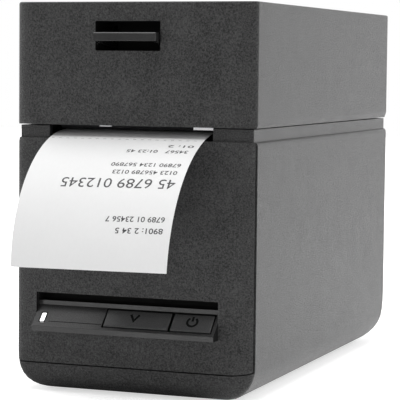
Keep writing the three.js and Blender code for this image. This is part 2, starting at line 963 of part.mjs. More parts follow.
function keyCap(left, across) {
  const cap = prismX(
    outline([
      [slopeLow, -keyThickness],
      [slopeTop, -keyThickness],
      [slopeTop, -capEdge],
      [slopeTop - capEdge, 0],
      [slopeLow + capEdge, 0],
      [slopeLow, -capEdge],
    ]),
    [left, left + across],
  );
  const centre = left + across / 2;
  const plunger = block(
    [centre - postRadius, centre + postRadius],
    [-postRadius, postRadius],
    [plungerLow, -keyThickness + fitGap],
  );
  return onSlope(join(cap, plunger));
}

function keyBoard() {
  const board = block(
    [panelLeft + thinWall + slipGap, panelRight - thinWall - slipGap],
    [slopeLow / 2, slopeTop + fitGap],
    [boardTop - boardThickness, boardTop],
  );
  const switches = [
    feedKeyLeft + feedKeyWidth / 2,
    powerKeyLeft + powerKeyWidth / 2,
  ].map((x) =>
    block(
      [x - shaftRadius, x + shaftRadius],
      [-postRadius, shaftRadius],
      [boardTop - fitGap, switchTop],
    ),
  );
  return onSlope(join(board, ...switches));
}

function statusLight() {
  const stem = block(
    [lightLeft + slipGap, lightLeft + lightWidth - slipGap],
    [-lightWidth / 2 - overrun / 2, lightWidth / 2 - overrun / 2],
    [boardTop + slipGap, -keyThickness + fitGap],
  );
  return join(lightPrism(0, [-keyThickness, 0]), onSlope(stem));
}

// Printed label: from the roll over the platen and out of the slot, then curling down
const webSteps = 8;
const curlSteps = 22;
function labelProfile(curl, length) {
  const line = [];
  const rollTangent = rollDistance - woundRadius * Math.sin(entryAngle);
  line.push([rollTangent, webHeight(rollTangent), entryAngle]);
  for (let i = 0; i <= webSteps; i++) {
    const angle = entryAngle + ((exitAngle - entryAngle) * i) / webSteps;
    line.push([
      platenDistance - pathRadius * (Math.sin(angle) - Math.sin(entryAngle)),
      printHeight - pathRadius * (Math.cos(entryAngle) - Math.cos(angle)),
      angle,
    ]);
  }
  for (let i = 1; i <= curlSteps; i++) {
    const angle = exitAngle + ((length / curl) * i) / curlSteps;
    line.push([
      -curl * (Math.sin(angle) - Math.sin(exitAngle)),
      exitHeight - curl * (Math.cos(exitAngle) - Math.cos(angle)),
      angle,
    ]);
  }
  return line;
}

// The two edges curl with their own radius, so the free end is a little conical.
function labelWeb() {
  const corners = [];
  for (const [x, curl, length] of [
    [labelLeft, labelCurlLeft, labelFreeLeft],
    [labelRight, labelCurlRight, labelFreeRight],
  ]) {
    for (const side of [1, -1]) {
      for (const [y, z, angle] of labelProfile(curl, length)) {
        corners.push([
          x,
          y - (side * labelThickness * Math.sin(angle)) / 2,
          z + (side * labelThickness * Math.cos(angle)) / 2,
        ]);
      }
    }
  }
  const count = corners.length / 4;
  const [upLeft, lowLeft, upRight, lowRight] = [0, count, count * 2, count * 3];
  const faces = [];
  const quad = (a, b, c, d) => faces.push(a, b, c, a, c, d);
  for (let i = 0; i < count - 1; i++) {
    quad(upLeft + i, upLeft + i + 1, upRight + i + 1, upRight + i);
    quad(lowLeft + i, lowRight + i, lowRight + i + 1, lowLeft + i + 1);
    quad(upLeft + i, lowLeft + i, lowLeft + i + 1, upLeft + i + 1);
    quad(upRight + i, upRight + i + 1, lowRight + i + 1, lowRight + i);
  }
  quad(upLeft, upRight, lowRight, lowLeft);
  quad(upLeft + count - 1, lowLeft + count - 1, lowRight + count - 1, upRight + count - 1);
  const geometry = new THREE.BufferGeometry();
  geometry.setAttribute("position", new THREE.Float32BufferAttribute(corners.flat(), 3));
  geometry.setIndex(faces);
  return solid(geometry);
}

// Mechanism frame: two side plates and a floor, with an idler post outside the right plate
const platenAxis = [platenDistance, platenHeight];
const motorAxis = [motorDistance, casingTop - motorDrop];
const idlerAxis = idlerPlace();

function idlerPlace() {
  const first = (gearModule * (platenTeeth + idlerTeeth)) / 2;
  const second = (gearModule * (idlerTeeth + motorTeeth)) / 2;
  const dy = motorAxis[0] - platenAxis[0];
  const dz = motorAxis[1] - platenAxis[1];
  const apart = Math.hypot(dy, dz);
  const along = (first ** 2 - second ** 2 + apart ** 2) / (2 * apart);
  const beside = Math.sqrt(Math.max(0, first ** 2 - along ** 2));
  return [
    platenAxis[0] + (dy * along - dz * beside) / apart,
    platenAxis[1] + (dz * along + dy * beside) / apart,
  ];
}

const plateTop = webHeight(deckFront) - webRoom;
const behindPanel = pocketBack + plateThickness + slipGap;

function mechanismFrame() {
  const side = outline([
    [behindPanel, plateFloor],
    [plateRear, plateFloor],
    [plateRear, plateTop],
    [deckFront - overrun, plateTop],
    [deckFront - overrun, casingTop - thinWall],
    [plateFront, casingTop - thinWall * 2],
    [plateFront, platenHeight - platenRadius],
    [behindPanel, platenHeight - platenRadius * 2],
  ]);
  const left = prismX(side, [plateLeft, plateLeft + plateThickness]);
  const right = prismX(side, [plateRight - plateThickness, plateRight]);
  const floor = block(
    [plateLeft, plateRight],
    [behindPanel, plateRear],
    [plateFloor, plateFloor + plateThickness],
  );
  const post = rodX([plateRight - fitGap, gearRight + fitGap], idlerAxis, postRadius);
  return cut(
    join(left, right, floor, post),
    rodX([plateLeft - overrun, plateRight + overrun], platenAxis, bushRadius + fitGap),
    rodX(
      [plateRight - plateThickness - overrun, plateRight + overrun],
      motorAxis,
      motorShaftRadius + slipGap,
    ),
  );
}

function platenBush(x, outward) {
  const length = plateThickness + bushFlange;
  const from = outward > 0 ? x : x - plateThickness;
  const body = rodX([from, from + plateThickness], platenAxis, bushRadius);
  const flangeFrom = outward > 0 ? x + plateThickness : x - length;
  const flange = rodX([flangeFrom, flangeFrom + bushFlange], platenAxis, bushRadius + bushFlange);
  return cut(
    join(body, flange),
    rodX([x - length - overrun, x + length + overrun], platenAxis, shaftRadius + fitGap),
  );
}

const platenLeft = (slotLeft + slotRight - platenLength) / 2;
const shaftEnds = [plateLeft - thinWall * 2, gearRight + slipGap];

function gearOn(teeth, firstTooth, [y, z], bore) {
  const body = prismX(gearShape(teeth, firstTooth), [gearLeft, gearRight]).translate([0, y, z]);
  return cut(body, rodX([gearLeft - overrun, gearRight + overrun], [y, z], bore));
}

const towards = (from, to) => Math.atan2(to[1] - from[1], to[0] - from[0]);
const platenToIdler = towards(platenAxis, idlerAxis);
const idlerToMotor = towards(idlerAxis, motorAxis);
const idlerPitchAngle = (2 * Math.PI) / idlerTeeth;
const motorPitchAngle = (2 * Math.PI) / motorTeeth;
const idlerFirstTooth = platenToIdler + Math.PI + idlerPitchAngle / 2;
const idlerPhase = (idlerFirstTooth - idlerToMotor) / idlerPitchAngle;
const motorFirstTooth = idlerToMotor + Math.PI + (0.5 - idlerPhase) * motorPitchAngle;

function idlerGear() {
  const gear = gearOn(idlerTeeth, idlerFirstTooth, idlerAxis, postRadius + fitGap);
  const lightening = [0, 1, 2, 3, 4].map((i) => {
    const angle = (i * 2 * Math.PI) / 5;
    const ring = (gearModule * idlerTeeth) / 4 + fitGap;
    const place = [idlerAxis[0] + ring * Math.cos(angle), idlerAxis[1] + ring * Math.sin(angle)];
    return rodX([gearLeft - overrun, gearRight + overrun], place, postRadius * 1.4, 12);
  });
  return cut(gear, ...lightening);
}

// Stepper motor: stack with cut corners, hung on the right plate
const motorRight = plateRight - plateThickness;
const shaftDepth = motorLength / 3;

function stepperMotor() {
  const half = motorSize / 2;
  const corner = motorSize / 9;
  const stack = prismX(
    outline([
      [-half + corner, -half],
      [half - corner, -half],
      [half, -half + corner],
      [half, half - corner],
      [half - corner, half],
      [-half + corner, half],
      [-half, half - corner],
      [-half, -half + corner],
    ]),
    [motorRight - motorLength, motorRight],
  ).translate([0, motorAxis[0], motorAxis[1]]);
  const bore = rodX(
    [motorRight - shaftDepth, motorRight + overrun],
    motorAxis,
    motorShaftRadius + fitGap,
  );
  return cut(stack, bore);
}

function motorPinion() {
  const shaft = rodX(
    [motorRight - shaftDepth + slipGap, gearRight + slipGap],
    motorAxis,
    motorShaftRadius,
  );
  const pinion = prismX(gearShape(motorTeeth, motorFirstTooth), [gearLeft, gearRight]);
  return join(shaft, pinion.translate([0, motorAxis[0], motorAxis[1]]));
}

// Label deck behind the platen, with the gap sensor let into it
const deckRear = plateRear;
const deckSpan = [plateLeft + plateThickness + slipGap, plateRight - plateThickness - slipGap];
const sensorSize = 10;

function labelDeck() {
  const top = (y) => webHeight(y) - webRoom;
  const under = (y) => top(y) - deckThickness;
  const frontLeg = deckFront + thinWall;
  const rearLeg = deckRear - thinWall;
  const deck = prismX(
    outline([
      [deckFront, under(deckFront) - deckLeg],
      [frontLeg, under(deckFront) - deckLeg],
      [frontLeg, under(frontLeg)],
      [rearLeg, under(rearLeg)],
      [rearLeg, under(rearLeg) - deckLeg],
      [deckRear, under(rearLeg) - deckLeg],
      [deckRear, top(deckRear)],
      [deckFront, top(deckFront)],
    ]),
    deckSpan,
  );
  const window = block(
    [labelMiddle - sensorSize / 2 - slipGap, labelMiddle + sensorSize / 2 + slipGap],
    [sensorFront - slipGap, sensorFront + sensorSize + slipGap],
    [casingTop - sensorSize, printHeight + sensorSize],
  );
  return cut(deck, window);
}

const sensorFront = (deckFront + plateRear) / 2 - sensorSize / 2;
function gapSensor() {
  const top = webHeight(sensorFront) - webRoom;
  return block(
    [labelMiddle - sensorSize / 2, labelMiddle + sensorSize / 2],
    [sensorFront, sensorFront + sensorSize],
    [top - sensorSize / 2, top - fitGap],
  );
}

// Label bay: trough round the roll, with closed ends and slots for the side guides
const rollCentre = [rollDistance, rollHeight];
const bayRadius = rollRadius + bayRoom;
const bayRear = depth - rimInset - thinWall - slipGap;
const bayTop = casingTop - bayTopDrop;
const bayBottom = rollHeight - bayRadius;
const rackTop = bayBottom - bayWall - slipGap;
const rackLow = rackTop - rackHeight;
const guideLines = { left: -1, right: 1 };

function troughPoints(radius, top, front, rear) {
  const points = [[front, top]];
  const startAngle = Math.PI + Math.acos(Math.min(1, (rollDistance - front) / bayRadius / 1.35));
  const steps = 16;
  for (let i = 0; i <= steps; i++) {
    const angle = startAngle + ((3 * Math.PI - 2 * startAngle) * i) / steps;
    points.push([
      rollDistance + radius * Math.cos(angle),
      rollHeight + radius * Math.sin(angle),
    ]);
  }
  points.push([rear, top]);
  return points;
}

function rackSlot(side) {
  const sign = guideLines[side];
  const from = side === "left" ? labelLeft - guideRoom - guideThickness - guideTravel
    : labelRight + guideRoom;
  const length = guideThickness + guideTravel;
  const y = rollDistance + sign * (rackPitchDistance + rackBack - thinWall);
  return block(
    [from - slipGap, from + length + slipGap],
    [y - thinWall - slipGap, y + thinWall + slipGap],
    [bayBottom - bayWall - overrun, bayBottom + overrun],
  );
}

function labelBay() {
  const outer = outline(troughPoints(bayRadius + bayWall, bayTop, bayFront, bayRear));
  const inner = outline(
    troughPoints(bayRadius, bayTop + overrun, bayFront + bayWall, bayRear - bayWall),
  );
  const ends = [bayEndInset, width - bayEndInset];
  const tub = cut(
    prismX(outer, ends),
    prismX(inner, [ends[0] + thinWall, ends[1] - thinWall]),
    rackSlot("left"),
    rackSlot("right"),
  );
  const post = rodZ(
    [rackLow - slipGap, bayBottom - bayWall / 2],
    [labelMiddle, rollDistance],
    postRadius,
  );
  return join(tub, post);
}

// Side guides: discs whose hubs carry the roll, each with a leg through the bay floor and a
// rack that meshes with one pinion, so that the two guides open and close together
const rackPitch = Math.PI * gearModule;

function rackBar(side) {
  const sign = guideLines[side];
  const legX = side === "left" ? labelLeft - guideRoom - guideThickness : labelRight + guideRoom;
  const rackLength = labelWidth / 2 + rackOverlap;
  const bar =
    side === "left"
      ? [legX, legX + guideThickness + rackLength]
      : [legX - rackLength, legX + guideThickness];
  const pitchLine = rackPitchDistance;
  const rootLine = pitchLine + toothDedendumShare * gearModule;
  const tipLine = pitchLine - toothAddendumShare * gearModule * 0.75;
  const lean = Math.tan(toothPressure);
  const halfPitch = rackPitch / 4 - toothBacklash / 2;
  const back = pitchLine + rackBack;
  const points = [
    [bar[0] - labelMiddle, back],
    [bar[0] - labelMiddle, rootLine],
  ];
  for (let i = -rackTeethShown / 2; i < rackTeethShown / 2; i++) {
    const centre = (i + 0.5) * rackPitch;
    const wide = halfPitch + lean * (rootLine - pitchLine);
    const narrow = halfPitch - lean * (pitchLine - tipLine);
    points.push([centre - wide, rootLine]);
    points.push([centre - narrow, tipLine]);
    points.push([centre + narrow, tipLine]);
    points.push([centre + wide, rootLine]);
  }
  points.push([bar[1] - labelMiddle, rootLine]);
  points.push([bar[1] - labelMiddle, back]);
  const placed = points.map(([x, y]) => [labelMiddle + x, rollDistance + sign * y]);
  const ordered = sign > 0 ? placed.reverse() : placed;
  return prismZ(outline(ordered), [rackLow, rackTop]);
}

function sideGuide(side) {
  const sign = guideLines[side];
  const inner = side === "left" ? labelLeft - guideRoom : labelRight + guideRoom;
  const outer = inner + (side === "left" ? -guideThickness : guideThickness);
  const span = [Math.min(inner, outer), Math.max(inner, outer)];
  const hubEnd = inner - sign * (hubReach + guideRoom);
  const hub = rodX(
    [Math.min(inner, hubEnd) - fitGap, Math.max(inner, hubEnd) + fitGap],
    rollCentre,
    coreBore - guideRoom,
    32,
  );
  const disc = rodX(span, rollCentre, guideDisc, 40);
  const legY = rollDistance + sign * (rackPitchDistance + rackBack - thinWall);
  const leg = block(
    span,
    [rollDistance - guideLeg / 2, rollDistance + guideLeg / 2],
    [bayBottom + slipGap + thinWall / 2, rollHeight],
  );
  const tongue = block(
    span,
    [legY - thinWall, legY + thinWall],
    [rackLow, rollHeight - guideDisc],
  );
  return join(disc, hub, leg, tongue, rackBar(side));
}

function guidePinion() {
  const gear = prismZ(gearShape(pinionTeeth, -Math.PI / 2), [rackLow, rackTop]);
  return cut(
    gear.translate([labelMiddle, rollDistance, 0]),
    rodZ([rackLow - overrun, rackTop + overrun], [labelMiddle, rollDistance], postRadius + fitGap),
  );
}

// Roll of labels and its core
function ringX([x0, x1], centre, outer, inner, sides) {
  return cut(
    rodX([x0, x1], centre, outer, sides),
    rodX([x0 - overrun, x1 + overrun], centre, inner, sides),
  );
}

// Boards and sockets at the back
function rearBoard() {
  const board = block(
    [networkSocket.left - overrun * 2, powerInlet.left + powerInlet.width + overrun * 2],
    [depth - wall - slipGap - rearBoardLength, depth - wall - slipGap],
    [rearBoardHeight, socketLow],
  );
  const brackets = [0, 1].map((side) => {
    const x = side ? powerInlet.left + powerInlet.width + overrun : networkSocket.left - overrun * 2;
    return block(
      [x, x + overrun],
      [depth - wall - slipGap - thinWall, depth - wall - slipGap],
      [rearBoardHeight, socketLow + networkSocket.height],
    );
  });
  return join(board, ...brackets);
}

function socketBox({ left, width: across, height: tall }) {
  return block(
    [left, left + across],
    [depth - socketRecess - socketDepth, depth - socketRecess],
    [socketLow, socketLow + tall],
  );
}

function networkJack() {
  const { left, width: across, height: tall } = networkSocket;
  const face = depth - socketRecess;
  const mouth = block(
    [left + socketWall, left + across - socketWall],
    [face - socketDepth * 0.7, face + overrun],
    [socketLow + socketWall, socketLow + tall - socketWall * 3],
  );
  const latchSlot = block(
    [left + across * 0.3, left + across * 0.7],
    [face - socketDepth * 0.7, face + overrun],
    [socketLow + tall - socketWall * 4, socketLow + tall - socketWall],
  );
  return cut(socketBox(networkSocket), mouth, latchSlot);
}

function usbJack() {
  const { left, width: across, height: tall } = usbSocket;
  const face = depth - socketRecess;
  const inset = socketWall;
  const mouth = prismY(
    outline([
      [left + inset, socketLow + inset],
      [left + across - inset, socketLow + inset],
      [left + across - inset, socketLow + tall - inset * 2],
      [left + across - inset * 2, socketLow + tall - inset],
      [left + inset * 2, socketLow + tall - inset],
      [left + inset, socketLow + tall - inset * 2],
    ]),
    [face - socketDepth * 0.6, face + overrun],
  );
  const tongue = block(
    [left + across * 0.32, left + across * 0.68],
    [face - socketDepth * 0.6 - fitGap, face - socketWall],
    [socketLow + tall - inset * 3.2, socketLow + tall - inset * 2],
  );
  return join(cut(socketBox(usbSocket), mouth), tongue);
}

function powerJack() {
  const { left, width: across, height: tall } = powerInlet;
  const face = depth - socketRecess;
  const centre = [left + across / 2, socketLow + tall / 2];
  const mouth = rodY([face - socketDepth * 0.6, face + overrun], centre, tall / 2 - socketWall);
  return cut(socketBox(powerInlet), mouth);
}

// Main board with its largest components
function mainBoard() {
  const board = block(
    [mainBoardLeft, mainBoardLeft + mainBoardWidth],
    [mainBoardFront, mainBoardFront + mainBoardLength],
    [mainBoardLow, mainBoardLow + boardThickness],
  );
  const top = mainBoardLow + boardThickness;
  const parts = [
    [0.18, 0.3, processorSize, processorSize, processorTall],
    [0.42, 0.6, memoryWidth, memoryLength, memoryTall],
    [0.7, 0.35, headerWidth, headerLength, headerTall],
    [0.85, 0.75, coilWidth, coilLength, coilTall],
    [0.3, 0.8, stripWidth, stripSize, stripSize],
  ].map(([shareX, shareY, across, along, tall]) => {
    const x = mainBoardLeft + mainBoardWidth * shareX;
    const y = mainBoardFront + mainBoardLength * shareY;
    return block(
      [x - across / 2, x + across / 2],
      [y - along / 2, y + along / 2],
      [top - fitGap, top + tall],
    );
  });
  return join(board, ...parts);
}

// Lid shell: cover with soft upper edges, side bevels that widen to the rear, a recess for
// the release bar with a pocket behind it, and two ribs that carry the lever's shaft
const recessLeft = labelMiddle + recessShift - recessWidth / 2;
const recessRight = recessLeft + recessWidth;
const leverAxis = [leverDistance, leverHeight];
const hookLeft = rimInset + slipGap + fitGap;

function lidForm() {
  const rings = [
    planRing(lidBottom, [0, width], [0, depth], cornerRadius, cornerReach),
    planRing(height - lidEdge, [0, width], [0, depth], cornerRadius, cornerReach),
  ];
  const steps = 3;
  for (let i = 1; i <= steps; i++) {
    const angle = (i / steps) * (Math.PI / 2);
    const inset = lidEdge * (1 - Math.cos(angle));
    rings.push(
      planRing(
        height - lidEdge * (1 - Math.sin(angle)),
        [inset, width - inset],
        [inset, depth - inset],
        cornerRadius - inset,
        cornerReach - inset,
      ),
    );
  }
  return loft(rings);
}

function bevelSection(x, toOutside, across, tall) {
  return [
    [x + toOutside * overrun, lidBottom - overrun],
    [x - toOutside * across, lidBottom - overrun],
    [x - toOutside * across, lidBottom],
    [x, lidBottom + tall],
    [x + toOutside * overrun, lidBottom + tall],
  ];
}

const ribPlaces = [slotLeft + overrun, slotRight - overrun - leverRibThickness];

function lidShell() {
  const inner = [lidWall, width - lidWall];
  const cavity = loft([
    planRing(lidBottom - overrun, inner, [lidWall, depth - lidWall], innerCornerRadius),
    planRing(height - lidWall, inner, [lidWall, depth - lidWall], innerCornerRadius),
  ]);
  const bevels = [
    [0, -1],
    [width, 1],
  ].map(([x, out]) =>
    taperedBar(
      bevelSection(x, out, bevelFrontWidth, bevelFrontHeight),
      bevelSection(x, out, bevelRearWidth, bevelRearHeight),
    ),
  );
  const rearBevel = prismX(
    outline(bevelSection(depth, 1, bevelFrontWidth, bevelFrontHeight)),
    [-overrun, width + overrun],
  );
  const pocket = cut(
    block(
      [recessLeft - thinWall, recessRight + thinWall],
      [lidWall / 2, pocketDepth + thinWall],
      [recessLow - thinWall, recessTop + thinWall],
    ),
    prismY(
      roundedShape([recessLeft, recessRight], [recessLow, recessTop], recessRound),
      [0, pocketDepth],
    ),
  );
  const ribs = ribPlaces.map((x) =>
    cut(
      block(
        [x, x + leverRibThickness],
        [leverDistance - hookArm * 2, leverDistance + hookArm * 2],
        [leverHeight - hookArm * 1.5, height - lidWall + fitGap],
      ),
      rodX([x - overrun, x + leverRibThickness + overrun], leverAxis,
        leverShaftRadius + slipGap),
    ),
  );
  const opening = prismY(
    roundedShape([recessLeft, recessRight], [recessLow, recessTop], recessRound),
    [-overrun, lidWall + overrun],
  );
  const cheekSlots = cheekPlaces().map((x) =>
    block(
      [x - slipGap, x + cheekThickness + slipGap],
      [pocketDepth - overrun / 2, pocketDepth + thinWall + overrun],
      [recessLow - thinWall - overrun, recessTop - thinWall],
    ),
  );
  const shell = cut(lidForm(), cavity, ...bevels, rearBevel, opening);
  return cut(join(shell, pocket, ...ribs), ...cheekSlots);
}

// Release handle: bar with a cheek at each end, on a sleeve round the lever's shaft
const barLeft = recessLeft + recessWidth / 2 - barWidth / 2;

function cheekPlaces() {
  return [barLeft, barLeft + barWidth - cheekThickness];
}

function releaseHandle() {
  const barTop = barLow + barHeight;
  const barRight = barLeft + barWidth;
  const barRear = barDepth - barReach;
  const barSide = prismX(
    outline([
      [-barReach, barLow + barEdge],
      [-barReach + barEdge, barLow],
      [barRear, barLow],
      [barRear, barTop],
      [-barReach + barEdge, barTop],
      [-barReach, barTop - barEdge],
    ]),
    [barLeft, barRight],
  );
  const barPlan = prismZ(
    outline([
      [barLeft + barEdge, -barReach],
      [barRight - barEdge, -barReach],
      [barRight, -barReach + barEdge],
      [barRight, barRear],
      [barLeft, barRear],
      [barLeft, -barReach + barEdge],
    ]),
    [barLow, barTop],
  );
  const bar = barSide.intersect(barPlan);
  const sleeveRadius = leverShaftRadius + leverSleeve;
  const cheekShape = outline([
    [barDepth - barReach - fitGap, barTop],
    [-barReach + thinWall, barTop],
    [-barReach + thinWall, barLow],
    [barDepth - barReach, barLow - thinWall],
    [pocketDepth, leverHeight + sleeveRadius - thinWall],
    [leverDistance, leverHeight - sleeveRadius],
    [leverDistance, leverHeight + sleeveRadius],
    [pocketDepth, barLow + thinWall],
  ]);
  const cheeks = cheekPlaces().map((x) => prismX(cheekShape, [x, x + cheekThickness]));
  const sleeve = rodX([barLeft, barLeft + barWidth], leverAxis, sleeveRadius);
  return cut(
    join(bar, ...cheeks, sleeve),
    rodX([barLeft - overrun, barLeft + barWidth + overrun], leverAxis,
      leverShaftRadius + fitGap),
  );
}

// Latch hooks: plates on the shaft's ends whose noses reach under the catches
const hookPlaces = { left: hookLeft, right: width - hookLeft - hookThickness };
const noseTop = catchHeight - catchRadius - slipGap;

function latchHook(side) {
  const x = hookPlaces[side];
  const armFront = leverDistance - hookArm - catchRadius;
  const armRear = leverDistance - catchRadius - slipGap * 2;
  const hub = rodX([x, x + hookThickness], leverAxis, hookArm + thinWall / 2);
  const arm = prismX(
    outline([
      [armFront, leverHeight],
      [armFront, noseTop - hookNose],
      [armRear, noseTop - hookNose],
      [leverDistance + catchRadius + slipGap, noseTop - thinWall],
      [leverDistance + catchRadius + slipGap, noseTop],
      [armRear, noseTop],
      [armRear, leverHeight],
    ]),
    [x, x + hookThickness],
  );
  return cut(
    join(hub, arm),
    rodX([x - overrun, x + hookThickness + overrun], leverAxis, leverShaftRadius + fitGap),
  );
}

// Print head under its carrier, which pivots on a rod in the lid's head mount
const headLeft = platenLeft + thinWall;
const headRight = platenLeft + platenLength - thinWall;
const headTop = webHeight(headRear) + headThickness;
const headPivot = [headPivotDistance, headPivotHeight];
const carrierLeft = headLeft - headOverhang;
const carrierRight = headRight + headOverhang;
const mountSpan = [carrierLeft - thinWall * 2, carrierRight + thinWall * 2];

function printHead() {
  const clear = labelThickness / 2 + slipGap;
  const nose = thinWall * 2;
  const body = prismX(
    outline([
      [headFront, headTop],
      [headFront, printHeight + nose],
      [platenDistance - nose, printHeight + clear],
      [platenDistance, printHeight + clear],
      [headRear, webHeight(headRear) + clear],
      [headRear, headTop],
    ]),
    [headLeft, headRight],
  );
  const finCount = 9;
  const finPitch = (headRear - headFront) / finCount;
  const grooves = Array.from({ length: finCount - 1 }, (_, i) =>
    block(
      [headLeft + thinWall * 2, headRight - thinWall * 2],
      [headFront + finPitch * (i + 1) - fitGap * 5, headFront + finPitch * (i + 1) + fitGap * 5],
      [headTop - thinWall, headTop + overrun],
    ),
  );
  return cut(body, ...grooves);
}

function headCarrier() {
  const plate = block(
    [carrierLeft, carrierRight],
    [headFront + overrun, headPivotDistance - headPivotRadius * 2],
    [headTop, headTop + plateThickness],
  );
  const ears = [carrierLeft, carrierRight - plateThickness].map((x) =>
    join(
      block(
        [x, x + plateThickness],
        [headRear + slipGap, headPivotDistance],
        [headPivotHeight - hookArm, headPivotHeight + hookArm],
      ),
      rodX([x, x + plateThickness], headPivot, hookArm),
    ),
  );
  return cut(
    join(plate, ...ears),
    rodX([carrierLeft - overrun, carrierRight + overrun], headPivot, headPivotRadius + fitGap),
  );
}

function headMount() {
  const ears = [mountSpan[0], mountSpan[1] - plateThickness].map((x) =>
    block(
      [x, x + plateThickness],
      [headPivotDistance - hookArm, headPivotDistance + hookArm * 2],
      [headPivotHeight - hookArm, height - lidWall],
    ),
  );
  const bridge = block(
    mountSpan,
    [headPivotDistance + hookArm, headPivotDistance + hookArm * 2],
    [headTop + sensorSize, headTop + sensorSize + plateThickness],
  );
  return cut(
    join(bridge, ...ears),
    rodX([mountSpan[0] - overrun, mountSpan[1] + overrun], headPivot,
      headPivotRadius + fitGap),
  );
}

// Tear bar: toothed strip inside the lid's front edge, with a plain tab at its right end
const tearLeft = slotLeft + slipGap * 2;
const tearRight = slotRight - slipGap;
const toothPitch = 2;

function tearBar() {
  const low = lidBottom;
  const tabLeft = tearRight - tearTabLength;
  const nubLeft = tearLeft + tearNubLeft;
  const nubRight = nubLeft + tearNubLength;
  const teeth = (from, to) => {
    const count = Math.max(1, Math.round((to - from) / toothPitch));
    const step = (to - from) / count;
    return Array.from({ length: count }, (_, i) => [
      [from + i * step, low + tearBarDrop / 2],
      [from + (i + 0.5) * step, low],
    ]).flat();
  };
  const points = [
    [tearRight, lidBottom + tearBarHeight],
    [tearLeft, lidBottom + tearBarHeight],
    ...teeth(tearLeft, nubLeft),
    [nubLeft, low + tearBarDrop / 2],
    [nubLeft, low - tearNubDrop],
    [nubRight, low - tearNubDrop],
    ...teeth(nubRight, tabLeft),
    [tabLeft, low + tearBarDrop / 2],
    [tabLeft, low - tearBarDrop],
    [tearRight, low - tearBarDrop],
  ];
  return prismY(outline(points), [lidWall, lidWall + tearBarThickness]);
}

// Lid liner over the roll, and the hinge leaves
function lidLiner() {
  const front = headPivotDistance + hookArm * 3;
  const rear = depth - lidWall - hingeLug;
  const top = rollHeight + rollRadius + lidOpenRoom + bayWall;
  const low = lidBottom + lidOpenRoom;
  const face = [
    [front, low],
    [front + hookArm * 2, top],
    [rear - hookArm * 3, top],
    [rear, low],
  ];
  const back = face.map(([y, z]) => [y, z + bayWall]).reverse();
  return prismX(outline([...face, ...back]), [lidWall + slipGap, width - lidWall - slipGap]);
}

function hingeLeaf(station) {
  const span = [
    station + hingeLug + slipGap,
    station + hingeLug + hingeKnuckle - slipGap,
  ];
  const leaf = block(
    span,
    [hingeAxis[0] - thinWall, depth - lidWall],
    [hingeAxis[1], hingeAxis[1] + leafHeight],
  );
  return cut(
    join(rodX(span, hingeAxis, hingeBarrel), leaf),
    rodX([span[0] - overrun, span[1] + overrun], hingeAxis, hingePinRadius + fitGap),
  );
}

function hingePin(station) {
  return rodX(
    [
      station + thinWall + slipGap,
      station + 2 * hingeLug + hingeKnuckle - thinWall - slipGap,
    ],
    hingeAxis,
    hingePinRadius,
  );
}

// Fixed pieces
add("main_housing", mainHousing(), plastic);
add("front_cover", frontCover(), plastic);
add("neck_frame", neckFrame(), plastic);
add("base_cover", baseCover(), darkPlastic);
for (const [corner, x, y] of footPlaces) {
  add("foot_" + corner, foot(), rubber).position.set(x, y, 0);
}
add("control_panel", controlPanel(), plastic);
add("status_light", statusLight(), lens);
add("key_board", keyBoard(), boardGreen);
add("main_board", mainBoard(), boardGreen);
add("rear_board", rearBoard(), boardGreen);
add("network_socket", networkJack(), steel);
add("usb_socket", usbJack(), steel);
add("power_inlet", powerJack(), darkPlastic);
add("mechanism_frame", mechanismFrame(), steel);
add("platen_bush_left", platenBush(plateLeft + plateThickness, -1), brass);
add("platen_bush_right", platenBush(plateRight - plateThickness, 1), brass);
add("stepper_motor", stepperMotor(), darkPlastic);
add("label_deck", labelDeck(), darkPlastic);
add("gap_sensor", gapSensor(), darkPlastic);
add("label_bay", labelBay(), darkPlastic);
add("label_web", labelWeb(), paper);
hingeStations.forEach((station, i) => {
  add("hinge_pin_" + (i ? "right" : "left"), hingePin(station), steel);
});
for (const side of ["left", "right"]) {
  const x = side === "left" ? rimInset : hookPlaces.right - slipGap * 2;
  const end = side === "left" ? hookPlaces.left + hookThickness + slipGap * 2 : width - rimInset;
  add("catch_" + side, rodX([x, end], [leverDistance, catchHeight], catchRadius), steel);
}

// Keys
add("feed_key", keyCap(feedKeyLeft, feedKeyWidth), keyPlastic);
add("power_key", keyCap(powerKeyLeft, powerKeyWidth), keyPlastic);

// Platen and gears
add(
  "platen_roller",
  ringX(
    [platenLeft, platenLeft + platenLength],
    platenAxis,
    platenRadius,
    shaftRadius + fitGap,
    40,
  ),
  rubber,
);
add("platen_shaft", rodX(shaftEnds, platenAxis, shaftRadius), steel);
add("platen_gear", gearOn(platenTeeth, platenToIdler, platenAxis, shaftRadius + fitGap),
  gearPlastic);
add("idler_gear", idlerGear(), gearPlastic);
add("motor_pinion", motorPinion(), brass);

// Roll and guides
const coreRadius = coreBore + coreWall;
add(
  "label_roll",
  ringX([labelLeft, labelRight], rollCentre, rollRadius, coreRadius + fitGap, 72),
  paper,
);
add("roll_core", ringX([labelLeft, labelRight], rollCentre, coreRadius, coreBore, 36), cardboard);
add("guide_left", sideGuide("left"), darkPlastic);
add("guide_right", sideGuide("right"), darkPlastic);
add("guide_pinion", guidePinion(), gearPlastic);

// Lid and what it carries
add("lid_shell", lidShell(), plastic);
add("lid_liner", lidLiner(), darkPlastic);
add("tear_bar", tearBar(), steel);
add("head_mount", headMount(), steel);
add(
  "head_pivot_rod",
  rodX([mountSpan[0] - thinWall, mountSpan[1] + thinWall], headPivot, headPivotRadius),
  steel,
);
add("head_carrier", headCarrier(), steel);
add("print_head", printHead(), aluminium);
hingeStations.forEach((station, i) => {
  add("hinge_leaf_" + (i ? "right" : "left"), hingeLeaf(station), steel);
});
add("release_handle", releaseHandle(), plastic);
add(
  "lever_shaft",
  rodX([hookPlaces.left, hookPlaces.right + hookThickness], leverAxis, leverShaftRadius),
  steel,
);
for (const side of ["left", "right"]) add("latch_hook_" + side, latchHook(side), steel);

